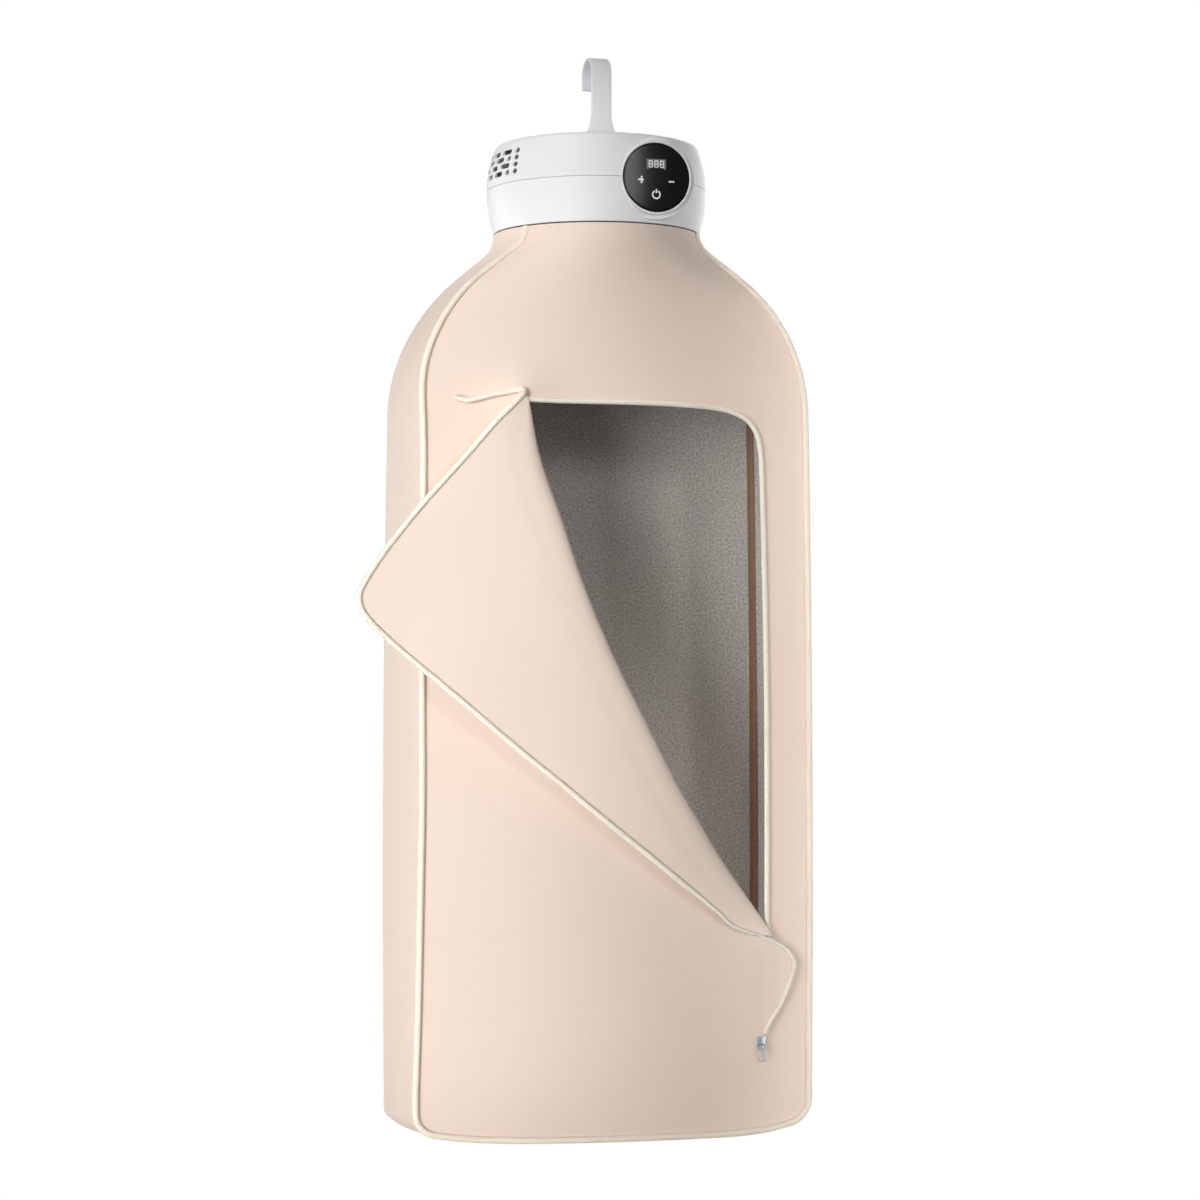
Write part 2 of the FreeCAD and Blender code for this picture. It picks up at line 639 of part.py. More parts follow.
board_z = rim + board_rise
board_holes = [cylinder("board_hole", size("screwRadius") + 0.15, 6, (x, y, board_z - 2))
               for x, y in stud_places]
node(cut("power_board_piece", box("power_board_blank", 66, 30, size("boardThick"), (-33, 78.5, board_z)),
         group("board_holes", board_holes)), "power_board")
part_z = board_z + size("boardThick")
node(group("power_component_set", [
    box("relay", 16, 13, 14, (-22, 88, part_z)),
    box("transformer", 17, 15, 15, (-3, 88, part_z)),
    cylinder("capacitor", 5.5, 17, (21, 94, part_z)),
    box("terminal_block", 14, 6, 10, (-7, 80, part_z))]), "power_components")
node(group("board_screw_set", [
    screw("board_screw", (x, y, part_z + 2.2), 8, flip=True) for x, y in stud_places]), "board_screws")
gland_z = rim + gland_rise
gland_face = 119.6
node(cut("gland_piece", joined("gland_blank", [
    cylinder("gland_barrel", gland_radius, 16, (0, gland_face - 14, gland_z), "Y"),
    cylinder("gland_flange", gland_radius + 2, 3, (0, gland_face, gland_z), "Y")]),
    cylinder("gland_bore", 3.6, 40, (0, gland_face - 25, gland_z), "Y")), "cord_gland")
gasket_base = rim - 2.8
node(cut("gasket_piece", cylinder("gasket_outer", size("rimRadius") - 1.2, 2.6, (0, 0, gasket_base)),
         cylinder("gasket_bore", size("skirtRadius") + 0.2, 2.6, (0, 0, gasket_base))), "neck_gasket")

# Tubes along straight runs joined by tangent arcs


def rounded_path(points, bends):
    # Edges through the points, with each inner corner rounded to its own radius.
    edges = []
    begin = points[0]
    for index in range(1, len(points) - 1):
        corner = points[index]
        back = (points[index - 1] - corner).normalize()
        ahead = (points[index + 1] - corner).normalize()
        half = back.getAngle(ahead) / 2
        trim = bends[index - 1] / math.tan(half)
        inward = (back + ahead).normalize()
        middle = corner + inward * (bends[index - 1] / math.sin(half) - bends[index - 1])
        first, second = corner + back * trim, corner + ahead * trim
        if (first - begin).Length > 1e-6:
            edges.append(Part.LineSegment(begin, first).toShape())
        edges.append(Part.Arc(first, middle, second).toShape())
        begin = second
    edges.append(Part.LineSegment(begin, points[-1]).toShape())
    return edges


def tube(edges, radius):
    path = Part.Wire(edges)
    first = edges[0]
    start = first.valueAt(first.FirstParameter)
    tangent = first.tangentAt(first.FirstParameter)
    ring = Part.Wire([Part.Circle(start, tangent, radius).toShape()])
    solid = path.makePipeShell([ring], True, False)
    expected = math.pi * radius ** 2 * path.Length
    print("tube length %.1f, volume share %.4f" % (path.Length, solid.Volume / expected))
    return solid


# Garment rail: a bent rod that swings in the two lugs under the grille

rail_half = sizes["railHalf"]
pin_end = rail_half + 6.5 + sizes["lugThick"] + 1
rail_top = -(sizes["rimDrop"] + sizes["railPivot"])
rail_low = rail_top - (sizes["railDrop"] - sizes["railPivot"])
rail_points = [Vector(0, -pin_end, rail_top), Vector(0, -rail_half, rail_top), Vector(0, -rail_half, rail_low),
               Vector(0, rail_half, rail_low), Vector(0, rail_half, rail_top), Vector(0, pin_end, rail_top)]
shape_node("garment_rail", tube(rounded_path(rail_points, [6.2, 12, 12, 6.2]), sizes["rodRadius"]))

# Bag outline: the front seam leaves the neck, flares, slopes over the shoulder and drops to the bottom

neck_angle = math.radians(sizes["seamAngle"])
neck_point = Vector(sizes["neckRadius"] * math.sin(neck_angle), -sizes["neckRadius"] * math.cos(neck_angle), 0)
side_point = Vector(sizes["bagHalf"], -sizes["bagFront"], 0)
seam_span = (side_point - neck_point).Length
seam_way = (side_point - neck_point).normalize()
slope = math.radians(sizes["shoulderSlope"])
flare, shoulder = sizes["flareBend"], sizes["shoulderBend"]
slope_run = (seam_span - (flare + shoulder) * (1 - math.cos(slope))) / math.sin(slope)
neck_z = -sizes["neckDrop"]
slope_top = neck_z - flare * math.sin(slope)
slope_low = slope_top - slope_run * math.cos(slope)
shoulder_z = slope_low - shoulder * math.sin(slope)


def flare_station(angle):
    return flare * (1 - math.cos(angle)), neck_z - flare * math.sin(angle), angle


def shoulder_station(angle):
    return seam_span - shoulder * (1 - math.cos(angle)), shoulder_z + shoulder * math.sin(angle), angle


stations = [flare_station(slope * share) for share in (0, 0.35, 0.7, 1)]
stations += [shoulder_station(slope * share) for share in (1, 0.75, 0.5, 0.25, 0)]


def seam_point(station):
    along, z, _ = station
    flat = neck_point + seam_way * along
    return Vector(flat.x, flat.y, z)


half_cloth = sizes["cloth"] / 2
seam_clear = sizes["pipingRadius"] + 0.5
neck_crown = sizes["neckRadius"] + neck_point.y


def crown_at(station, neck_value, body_value):
    share = station[0] / seam_span
    return neck_value + (body_value - neck_value) * share


def strip_wire(points, offsets):
    # A strip of cloth in a level plane through three points, with its outer face offset from each.
    outer = [point + offset for point, offset in zip(points, offsets)]
    inner = [point - offset for point, offset in zip(points, offsets)][::-1]
    return Part.Wire([
        Part.Arc(*outer).toShape(),
        Part.LineSegment(outer[2], inner[0]).toShape(),
        Part.Arc(*inner).toShape(),
        Part.LineSegment(inner[2], outer[0]).toShape(),
    ])


def edge_way(station):
    # The outward direction of the cloth at the front seam: round at the neck, flat at the shoulder.
    turn = neck_angle * (1 - station[0] / seam_span)
    return Vector(math.sin(turn), -math.cos(turn), 0)


def front_wire(station):
    seam = seam_point(station)
    out = edge_way(station)
    edge = seam + Vector(out.y, -out.x, 0) * (seam_clear / math.cos(station[2]))
    rise = Vector(0, seam.y - crown_at(station, neck_crown, sizes["crown"]), seam.z)
    out = out * half_cloth
    return strip_wire([Vector(-edge.x, edge.y, edge.z), rise, edge],
                      [Vector(-out.x, out.y, 0), Vector(0, -half_cloth, 0), out])


def back_wire(station):
    edge = seam_point(station)
    rise = Vector(0, -edge.y + crown_at(station, neck_crown, sizes["crown"]), edge.z)
    right, left = Vector(edge.x, -edge.y, edge.z), Vector(-edge.x, -edge.y, edge.z)
    return strip_wire([right, rise, left], [Vector(0, half_cloth, 0)] * 3)


def gusset_wire(station, side):
    edge = seam_point(station)
    bulge = crown_at(station, sizes["neckRadius"] - neck_point.x, 0.6)
    lean = (math.pi / 2 - neck_angle) * (1 - station[0] / seam_span)
    front = edge + Vector(math.sin(lean), math.cos(lean), 0) * (sizes["pipingRadius"] + 0.8)
    front.x *= side
    back = Vector(side * edge.x, -edge.y - half_cloth - 0.2, edge.z)
    middle = Vector(side * (edge.x + bulge), (front.y + back.y) / 2, edge.z)
    return strip_wire([front, middle, back], [Vector(side * half_cloth / math.cos(station[2]), 0, 0)] * 3)


# Bottom outline: corner arcs that meet one long sagging arc

corner = sizes["cornerBend"]
corner_x = sizes["bagHalf"] - corner
sag_radius = (corner_x ** 2 + sizes["bottomSag"] ** 2) / (2 * sizes["bottomSag"])
sag_z = sag_radius - sizes["bagBottom"]
corner_z = sag_z - math.sqrt((sag_radius - corner) ** 2 - corner_x ** 2)
corner_turn = math.atan2(corner_x, sag_z - corner_z)


def bottom_edges(inset, y):
    # The bottom of the outline from right to left, drawn in by inset.
    radius = corner - inset
    low = sag_radius - inset
    half_turn = (math.pi / 2 - corner_turn) / 2

    def on_corner(angle):
        return Vector(corner_x + radius * math.cos(angle), y, corner_z - radius * math.sin(angle))

    joint = on_corner(2 * half_turn)
    lowest = Vector(0, y, sag_z - low)
    right = [on_corner(0), on_corner(half_turn), joint]

    def left(point):
        return Vector(-point.x, y, point.z)

    return [
        Part.Arc(*right).toShape(),
        Part.Arc(joint, lowest, left(joint)).toShape(),
        Part.Arc(left(joint), left(right[1]), left(right[0])).toShape(),
    ]


def outline_prism(inset, front, depth):
    edges = bottom_edges(inset, front)
    half = sizes["bagHalf"] - inset
    top_right, top_left = Vector(half, front, shoulder_z), Vector(-half, front, shoulder_z)
    low_left, low_right = Vector(-half, front, corner_z), Vector(half, front, corner_z)
    edges.append(Part.LineSegment(low_left, top_left).toShape())
    edges.append(Part.LineSegment(top_left, top_right).toShape())
    edges.append(Part.LineSegment(top_right, low_right).toShape())
    return Part.Face(Part.Wire(edges)).extrude(Vector(0, depth, 0))


def panel(wire_at, prism=None, length=None):
    shoulder_part = Part.makeLoft([wire_at(station) for station in stations], True)
    drop = length or sizes["bagBottom"] + shoulder_z
    body_part = Part.Face(wire_at(stations[-1])).extrude(Vector(0, 0, -drop))
    if prism is not None:
        body_part = body_part.common(prism)
    return shoulder_part.fuse(body_part)


# Door: zip lines, fold line and the part of the front panel that opens

door_y = -sizes["doorPlane"]
half_apart = sizes["cordApart"] / 2
cord = sizes["cordRadius"]
cord_clear = cord + 0.1
zip_x, zip_z = sizes["zipRight"], -sizes["zipTop"]
fold_origin = Vector(-sizes["foldLeft"], door_y - sizes["foldOffset"], -sizes["foldTop"])
fold_way = Vector(sizes["foldRun"], 0, -sizes["foldFall"]).normalize()
fold_side = Vector(-fold_way.z, 0, fold_way.x)


def fold_x(z):
    return fold_origin.x + (z - fold_origin.z) * fold_way.x / fold_way.z


def fold_z(x):
    return fold_origin.z + (x - fold_origin.x) * fold_way.z / fold_way.x


def door_prism(points, bends, y, depth):
    # A closed outline in the door's plane; a bend of zero is a sharp corner.
    edges = []
    count = len(points)
    trims = []
    for index, bend in enumerate(bends):
        spot = Vector(points[index][0], y, points[index][1])
        before = Vector(points[index - 1][0], y, points[index - 1][1])
        after = Vector(points[(index + 1) % count][0], y, points[(index + 1) % count][1])
        if bend == 0:
            trims.append((spot, None, spot))
            continue
        back, ahead = (before - spot).normalize(), (after - spot).normalize()
        half = back.getAngle(ahead) / 2
        reach_in = bend / math.tan(half)
        middle = spot + (back + ahead).normalize() * (bend / math.sin(half) - bend)
        trims.append((spot + back * reach_in, middle, spot + ahead * reach_in))
    for index, (first, middle, second) in enumerate(trims):
        if middle is not None:
            edges.append(Part.Arc(first, middle, second).toShape())
        edges.append(Part.LineSegment(second, trims[(index + 1) % count][0]).toShape())
    return Part.Face(Part.Wire(edges)).extrude(Vector(0, depth, 0))


outer_shift = half_apart + cord_clear
slot_top, slot_low = zip_z + outer_shift, zip_z - outer_shift
slot_right, slot_left = zip_x + outer_shift, zip_x - outer_shift
zip_start, zip_stop = -sizes["zipLeft"], -sizes["zipEnd"]
door_hole = door_prism([
    (zip_start - 4, slot_top), (slot_right, slot_top), (slot_right, zip_stop - 8), (slot_left, zip_stop - 8),
    (slot_left, fold_z(slot_left)), (fold_x(slot_low), slot_low), (zip_start - 4, slot_low)],
    [0, sizes["zipBend"] + outer_shift, 0, 0, 0, 0, 0], door_y - 20, 40)

front_prism = outline_prism(seam_clear, -sizes["bagFront"] - 30, 60)
shape_node("front_panel", panel(front_wire, front_prism).cut(door_hole))
shape_node("back_panel", panel(back_wire, outline_prism(-half_cloth, sizes["bagFront"] - 30, 60)))
side_drop = shoulder_z - corner_z - 0.1
shape_node("right_gusset", panel(lambda station: gusset_wire(station, 1), None, side_drop))
shape_node("left_gusset", panel(lambda station: gusset_wire(station, -1), None, side_drop))

bottom_front = -sizes["bagFront"] + sizes["pipingRadius"] + 0.8
bottom_depth = sizes["bagFront"] - half_cloth - 0.2 - bottom_front
bottom_outer = bottom_edges(-half_cloth, bottom_front)
bottom_inner = bottom_edges(half_cloth, bottom_front)
bottom_ends = [Part.LineSegment(Vector(side * (sizes["bagHalf"] + half_cloth), bottom_front, corner_z),
                                Vector(side * (sizes["bagHalf"] - half_cloth), bottom_front, corner_z)).toShape()
               for side in (1, -1)]
bottom_face = Part.Face(Part.Wire(Part.sortEdges(bottom_outer + bottom_inner + bottom_ends)[0]))
shape_node("bottom_gusset", bottom_face.extrude(Vector(0, bottom_depth, 0)))

collar_outer = sizes["neckRadius"] - half_cloth - 1.2
collar_inner = sizes["skirtRadius"] + 0.4
collar_base = Vector(0, 0, neck_z - sizes["collarHeight"])
collar = Part.makeCylinder(collar_outer, sizes["collarHeight"], collar_base)
collar = collar.cut(Part.makeCylinder(collar_inner, sizes["collarHeight"], collar_base))
for side in (1, -1):
    notch_base = Vector(side * neck_point.x, neck_point.y, collar_base.z)
    collar = collar.cut(Part.makeCylinder(sizes["pipingRadius"] + 0.6, sizes["collarHeight"], notch_base))
shape_node("neck_collar", collar)


def seam_edges(side):
    # One side of the front seam from the neck down to the corner.
    def at(station):
        point = seam_point(station)
        return Vector(side * point.x, point.y, point.z)

    flare_end, slope_end, last = at(flare_station(slope)), at(shoulder_station(slope)), at(stations[-1])
    corner_start = Vector(last.x, last.y, corner_z)
    return [
        Part.Arc(at(flare_station(0)), at(flare_station(slope / 2)), flare_end).toShape(),
        Part.LineSegment(flare_end, slope_end).toShape(),
        Part.Arc(slope_end, at(shoulder_station(slope / 2)), last).toShape(),
        Part.LineSegment(last, corner_start).toShape(),
    ]


def backwards(edges):
    # The same run, followed from its other end.
    turned = []
    for edge in reversed(edges):
        first, last = edge.valueAt(edge.FirstParameter), edge.valueAt(edge.LastParameter)
        middle = edge.valueAt((edge.FirstParameter + edge.LastParameter) / 2)
        straight = edge.Curve.TypeId == "Part::GeomLine"
        run = Part.LineSegment(last, first) if straight else Part.Arc(last, middle, first)
        turned.append(run.toShape())
    return turned


piping_path = seam_edges(1) + bottom_edges(0, -sizes["bagFront"]) + backwards(seam_edges(-1))
shape_node("front_piping", tube(piping_path, sizes["pipingRadius"]))

binding_width, binding_thick = 8, 1.6
binding_x = sizes["bagHalf"] - half_cloth - 3 - binding_width
binding_length = shoulder_z - corner_z - 20
shape_node("seam_bindings", Part.makeCompound([
    Part.makeBox(binding_width, binding_thick, binding_length,
                 Vector(x, sizes["bagFront"] - half_cloth - 1 - binding_thick, corner_z + 10))
    for x in (binding_x, -binding_x - binding_width)]))

# Zip cords: the fixed half round the door, and the flap's half

fixed_z, fixed_x = zip_z + half_apart, zip_x + half_apart
shape_node("door_cord", tube(rounded_path([
    Vector(zip_start, door_y, fixed_z), Vector(fixed_x, door_y, fixed_z), Vector(fixed_x, door_y, zip_stop)],
    [sizes["zipBend"] + half_apart]), cord))
moving_z, moving_x = zip_z - half_apart, zip_x - half_apart
lead_end = fold_x(moving_z) - 8
shape_node("zip_lead_cord", tube(rounded_path([
    Vector(zip_start, door_y, moving_z), Vector((zip_start + lead_end) / 2, door_y - 1.5, moving_z + 0.2),
    Vector(lead_end, door_y - 2, moving_z + 1)], [120]), cord))

# Flap: made closed in the door's plane, then swung open about the fold

open_turn = 180 - sizes["flapLift"]
flap_open = Placement(Vector(0, 0, 0), Rotation(fold_way, open_turn), fold_origin)
fold_gap = 0.3
gap_x, gap_z = fold_gap / fold_side.x, fold_gap / fold_side.z
flap_shape = door_prism([
    (fold_x(slot_low) + gap_x, slot_low), (slot_left, slot_low), (slot_left, fold_z(slot_left) + gap_z)],
    [0, sizes["zipBend"] - outer_shift, 0], door_y - half_cloth, sizes["cloth"])
shape_node("flap_panel", flap_shape, flap_open)
flap_cord = tube(rounded_path([
    Vector(fold_x(moving_z) + 8, door_y, moving_z), Vector(moving_x, door_y, moving_z),
    Vector(moving_x, door_y, fold_z(moving_x) + 16)], [sizes["zipBend"] - half_apart]), cord)
shape_node("flap_cord", flap_cord, flap_open)

# Fold: the roll of cloth between the front panel and the open flap

roll_inner = sizes["foldOffset"] - half_cloth
roll_outer = sizes["foldOffset"] + half_cloth
roll_start = fold_origin + fold_way * ((slot_low - 8 - fold_origin.z) / fold_way.z)
roll_end = fold_origin + fold_way * ((slot_left - 2 - fold_origin.x) / fold_way.x)
roll_profile = Part.Face(Part.Wire(Part.makePolygon([
    roll_start + Vector(0, roll_inner, 0), roll_start + Vector(0, roll_outer, 0),
    roll_start + Vector(0, roll_outer, 0) + fold_way * (roll_end - roll_start).Length,
    roll_start + Vector(0, roll_inner, 0) + fold_way * (roll_end - roll_start).Length,
    roll_start + Vector(0, roll_inner, 0)]).Edges))
shape_node("door_fold", roll_profile.revolve(fold_origin, fold_way, open_turn))

# Tongue: the cloth and the loose cord between the fold's lower end and the slider

tail_y = door_y - 7
tail_points = [Vector(174, tail_y, -948), Vector(190, tail_y, -957), Vector(197, tail_y, -974),
               Vector(192, tail_y, -995), Vector(181, tail_y, -1018), Vector(169, tail_y, -1042)]
tail_bends = []
for index in range(1, len(tail_points) - 1):
    back = tail_points[index - 1] - tail_points[index]
    ahead = tail_points[index + 1] - tail_points[index]
    half = back.getAngle(ahead) / 2
    tail_bends.append(0.45 * min(back.Length, ahead.Length) * math.tan(half))
shape_node("tail_cord", tube(rounded_path(tail_points, tail_bends), cord))
tongue_outline = [(156, -946), (170, -950), (185, -959), (192, -975), (186.5, -994), (175.5, -1016),
                  (164, -1038), (157, -1042)]
shape_node("door_tongue", door_prism(tongue_outline, [0] * len(tongue_outline), tail_y + 1.6, 1.4))

# Zip slider on the fixed cord, with its pull, and the stops at the zip's ends

plate = size("sliderPlate")
channel = size("cordRadius") + 0.4
slider_base = -size("zipEnd") + 2
slider_left = size("zipRight") - size("sliderWidth") * 0.5
front_face = -size("doorPlane") - channel - plate
post_width = size("cordApart") - size("cordRadius") * 2 - 0.8
pin_y = front_face - 1.9
pin_z = slider_base + 1.6
lug_reach = 4
slider_parts = [
    box("slider_front", size("sliderWidth"), plate, size("sliderHeight"), (slider_left, front_face, slider_base)),
    box("slider_back", size("sliderWidth"), plate, size("sliderHeight"),
        (slider_left, -size("doorPlane") + channel, slider_base)),
    box("slider_post", post_width, channel * 2 + 1, size("sliderHeight") * 0.5,
        (size("zipRight") - post_width * 0.5, -size("doorPlane") - channel - 0.5,
         slider_base + size("sliderHeight") * 0.5)),
    cylinder("slider_pin", 0.7, lug_reach * 2, (size("zipRight") - lug_reach, pin_y, pin_z), "X")]
slider_parts += [box("slider_lug", 1.4, 3.4, 3.2, (size("zipRight") + x, pin_y - 1.4, pin_z - 1.6))
                 for x in (-lug_reach, lug_reach - 1.4)]
node(joined("slider_piece", slider_parts), "zip_slider")
pull_half = 2.3
pull_plate = box("pull_plate", 7.4, 1.2, size("pullLength"),
                 (size("zipRight") - 3.7, pin_y - 0.6, pin_z - 2.2 - size("pullLength")))
pull_neck = box("pull_neck", pull_half * 2, 1.2, 3, (size("zipRight") - pull_half, pin_y - 0.6, pin_z - 3))
pull_eye = cylinder("pull_eye", 1.5, pull_half * 2, (size("zipRight") - pull_half, pin_y, pin_z), "X")
pull_bore = cylinder("pull_bore", 0.76, 12, (size("zipRight") - 6, pin_y, pin_z), "X")
node(cut("pull_piece", joined("pull_blank", [pull_plate, pull_neck, pull_eye]), pull_bore), "zip_pull")
stop_depth = channel * 2
node(group("stop_set", [
    box("low_stop", 10, stop_depth, 2.4, (size("zipRight") - 3, -size("doorPlane") - channel, slider_base - 4.6)),
    box("start_stop", 2.6, stop_depth, size("cordApart") + 6,
        (-size("zipLeft") - 2.8, -size("doorPlane") - channel, -size("zipTop") - size("cordApart") * 0.5 - 3))]),
    "zip_stops")

# Every object must be sound before anything is written

doc.recompute()
faults = [item.Name for item in doc.Objects if "Invalid" in item.State or "Error" in item.State]
for item in nodes:
    if item.Shape.isNull() or not item.Shape.isValid() or not item.Shape.Solids:
        faults.append(item.Label)
if faults:
    raise SystemExit("unsound: " + ", ".join(faults))
os.makedirs("parts", exist_ok=True)
for item in nodes:
    item.Shape.exportStep("parts/%s.step" % item.Label)
    print(item.Label, len(item.Shape.Solids), round(item.Shape.Volume))
print(len(nodes), "pieces")
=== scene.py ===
import math
import bmesh
import bpy
from collections import Counter
from mathutils import Matrix, Vector, noise


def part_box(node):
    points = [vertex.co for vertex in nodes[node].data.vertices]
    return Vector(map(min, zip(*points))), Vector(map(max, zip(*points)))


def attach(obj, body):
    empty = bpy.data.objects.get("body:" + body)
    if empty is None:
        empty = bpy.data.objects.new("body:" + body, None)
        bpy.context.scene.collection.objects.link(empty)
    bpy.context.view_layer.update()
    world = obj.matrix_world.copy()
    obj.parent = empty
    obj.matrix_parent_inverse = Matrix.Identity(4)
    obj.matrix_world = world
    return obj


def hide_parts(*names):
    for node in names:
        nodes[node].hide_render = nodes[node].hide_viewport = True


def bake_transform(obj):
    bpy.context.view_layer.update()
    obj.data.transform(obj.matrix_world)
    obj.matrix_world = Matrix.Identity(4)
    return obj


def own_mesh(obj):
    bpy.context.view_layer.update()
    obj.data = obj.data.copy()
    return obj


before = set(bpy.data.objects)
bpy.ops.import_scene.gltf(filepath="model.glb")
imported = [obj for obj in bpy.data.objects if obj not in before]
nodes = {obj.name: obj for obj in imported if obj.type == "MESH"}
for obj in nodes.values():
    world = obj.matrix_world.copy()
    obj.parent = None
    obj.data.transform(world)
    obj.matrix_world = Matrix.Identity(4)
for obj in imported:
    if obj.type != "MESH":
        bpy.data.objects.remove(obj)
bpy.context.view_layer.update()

# A hanging clothes dryer: the blower head, the cloth bag, its zipped door peeled open.
# Shapes are worked out in millimetres and turned to metres as they become meshes.

scene = bpy.context.scene
mm = 0.001


def toLinear(hexColour):
    channels = [int(hexColour[i:i + 2], 16) / 255 for i in (1, 3, 5)]
    return [c / 12.92 if c <= 0.04045 else ((c + 0.055) / 1.055) ** 2.4 for c in channels] + [1]


def addNode(tree, kind, settings=None, links=None):
    node = tree.nodes.new(kind)
    for name, value in (settings or {}).items():
        if isinstance(name, str) and hasattr(node, name):
            setattr(node, name, value)
        else:
            node.inputs[name].default_value = value
    for name, source in (links or {}).items():
        tree.links.new(source, node.inputs[name])
    return node


def newMaterial(name, colour, sockets):
    material = bpy.data.materials.new(name)
    material.use_nodes = True
    tree = material.node_tree
    shader = tree.nodes["Principled BSDF"]
    shader.inputs["Base Color"].default_value = toLinear(colour)
    for socket, value in sockets.items():
        shader.inputs[socket].default_value = value
    return material, tree, shader


def bandScale(spacing):
    return 2 * math.pi / (20 * spacing * mm)  # a wave texture's bands are this many millimetres apart


def addNoise(tree, size, detail, place):
    # A noise whose lumps are about this many millimetres across.
    return addNode(tree, "ShaderNodeTexNoise", {"Scale": 1 / (size * mm), "Detail": detail},
                   {"Vector": place})


def addGloss(tree, shader, texture, low, high):
    gloss = addNode(tree, "ShaderNodeMapRange", {"To Min": low, "To Max": high},
                    {"Value": texture.outputs["Fac"]})
    tree.links.new(gloss.outputs[0], shader.inputs["Roughness"])


def addBump(tree, shader, strength, distance, height):
    bump = addNode(tree, "ShaderNodeBump", {"Strength": strength, "Distance": distance * mm},
                   {"Height": height})
    tree.links.new(bump.outputs[0], shader.inputs["Normal"])


def seenShare(tree):
    # 1 on the rays that look at a thing or mirror it, 0 on the rays that light one.
    path = addNode(tree, "ShaderNodeLightPath")
    seen = addNode(tree, "ShaderNodeMath", {"operation": "MAXIMUM"},
                   {0: path.outputs["Is Camera Ray"], 1: path.outputs["Is Glossy Ray"]})
    seen = addNode(tree, "ShaderNodeMath", {"operation": "MAXIMUM"},
                   {0: seen.outputs[0], 1: path.outputs["Is Transmission Ray"]})
    return seen.outputs[0]


# Materials

def clothMaterial(name, look):
    # Threads come from two crossed waves on the piece's own map, clouds from a slow noise.
    sockets = {"Roughness": look["roughness"], "Sheen Weight": look["sheen"], "Sheen Roughness": 0.45,
               "Specular IOR Level": 0.25}
    if "depth" in look:  # how far light passes into a soft cord
        sockets.update({"Subsurface Weight": 0.8, "Subsurface Radius": (1, 0.96, 0.92),
                        "Subsurface Scale": look["depth"] * mm})
    material, tree, shader = newMaterial(name, look["colour"], sockets)
    place = addNode(tree, "ShaderNodeTexCoord").outputs[look["map"]]
    bands = {"Scale": bandScale(look["thread"]), "Distortion": 0.6, "Detail": 1}
    warp, weft = [addNode(tree, "ShaderNodeTexWave", {"bands_direction": way, **bands}, {"Vector": place})
                  for way in ("X", look["weft"])]
    weave = addNode(tree, "ShaderNodeMath", {"operation": "MULTIPLY"},
                    {0: warp.outputs["Fac"], 1: weft.outputs["Fac"]})
    cloud = addNoise(tree, look["cloud"], 2, place)
    tint = addNode(tree, "ShaderNodeMix", {"data_type": "RGBA", 6: toLinear(look["colour"]),
                                           7: toLinear(look["shade"])}, {0: cloud.outputs["Fac"]})
    thread = addNode(tree, "ShaderNodeMix",
                     {"data_type": "RGBA", "blend_type": "MULTIPLY", 0: look["contrast"]},
                     {6: tint.outputs[2], 7: weave.outputs[0]})
    tree.links.new(thread.outputs[2], shader.inputs["Base Color"])
    addBump(tree, shader, look["bump"], look["thread"] * 0.3, weave.outputs[0])
    return material


# Coated polyester: a close plain weave, so fine that the eye sees a smooth, soft peach.
bagCloth = clothMaterial("coatedPolyester", {
    "colour": "#EFDCCE", "shade": "#ECD7C7", "roughness": 0.62, "sheen": 0.2, "map": "UV", "weft": "Y",
    "thread": 1.4, "cloud": 140, "contrast": 0.03, "bump": 0.06})
# The same cloth's inner face, which the open flap shows: a little paler, as painted light that brightens the
# flap.
flapLitCloth = clothMaterial("flapPaintedLitPolyester", {
    "colour": "#F8E6D8", "shade": "#F5E1D1", "roughness": 0.7, "sheen": 0.2, "map": "UV", "weft": "Y",
    "thread": 1.4, "cloud": 140, "contrast": 0.03, "bump": 0.08})
# Woven lining: coarse grey threads with pale flecks.
liningCloth = clothMaterial("wovenLining", {
    "colour": "#FFFAF4", "shade": "#6E6760", "roughness": 0.85, "sheen": 0.1, "map": "UV", "weft": "Y",
    "thread": 2.4, "cloud": 2.6, "contrast": 0.15, "bump": 0.4})
# Cotton piping over a cord: a fine matte cream.
pipingCloth = clothMaterial("cottonPiping", {
    "colour": "#FCEEE0", "shade": "#F8E6D4", "roughness": 0.7, "sheen": 0.25, "map": "Object", "weft": "Z",
    "thread": 1.2, "cloud": 40, "contrast": 0.06, "bump": 0.15, "depth": 5})
# Zip cord: a brighter cream braid on the door's edges.
zipCloth = clothMaterial("braidedZipCord", {
    "colour": "#FEF4E6", "shade": "#FAECDC", "roughness": 0.62, "sheen": 0.25, "map": "Object", "weft": "Z",
    "thread": 1.1, "cloud": 30, "contrast": 0.07, "bump": 0.2, "depth": 5})
# Grosgrain tape: brown ribs across the seams inside the bag.
bindingCloth = clothMaterial("grosgrainTape", {
    "colour": "#AE8973", "shade": "#9A7660", "roughness": 0.8, "sheen": 0.15, "map": "Object", "weft": "Z",
    "thread": 1.8, "cloud": 12, "contrast": 0.35, "bump": 0.4})


def plasticMaterial(name, look):
    # Moulded plastic: spark-eroded grain in the bump and a faint drift in the gloss.
    material, tree, shader = newMaterial(name, look["colour"], {
        "Roughness": look["roughness"], "IOR": 1.5, "Specular IOR Level": look.get("shine", 0.5)})
    place = addNode(tree, "ShaderNodeTexCoord").outputs["Object"]
    grain = addNoise(tree, look["grain"], 3, place)
    drift = addNoise(tree, 60, 2, place)
    addGloss(tree, shader, drift, look["roughness"] - 0.04, look["roughness"] + 0.04)
    addBump(tree, shader, look["bump"], 0.1, grain.outputs["Fac"])
    return material


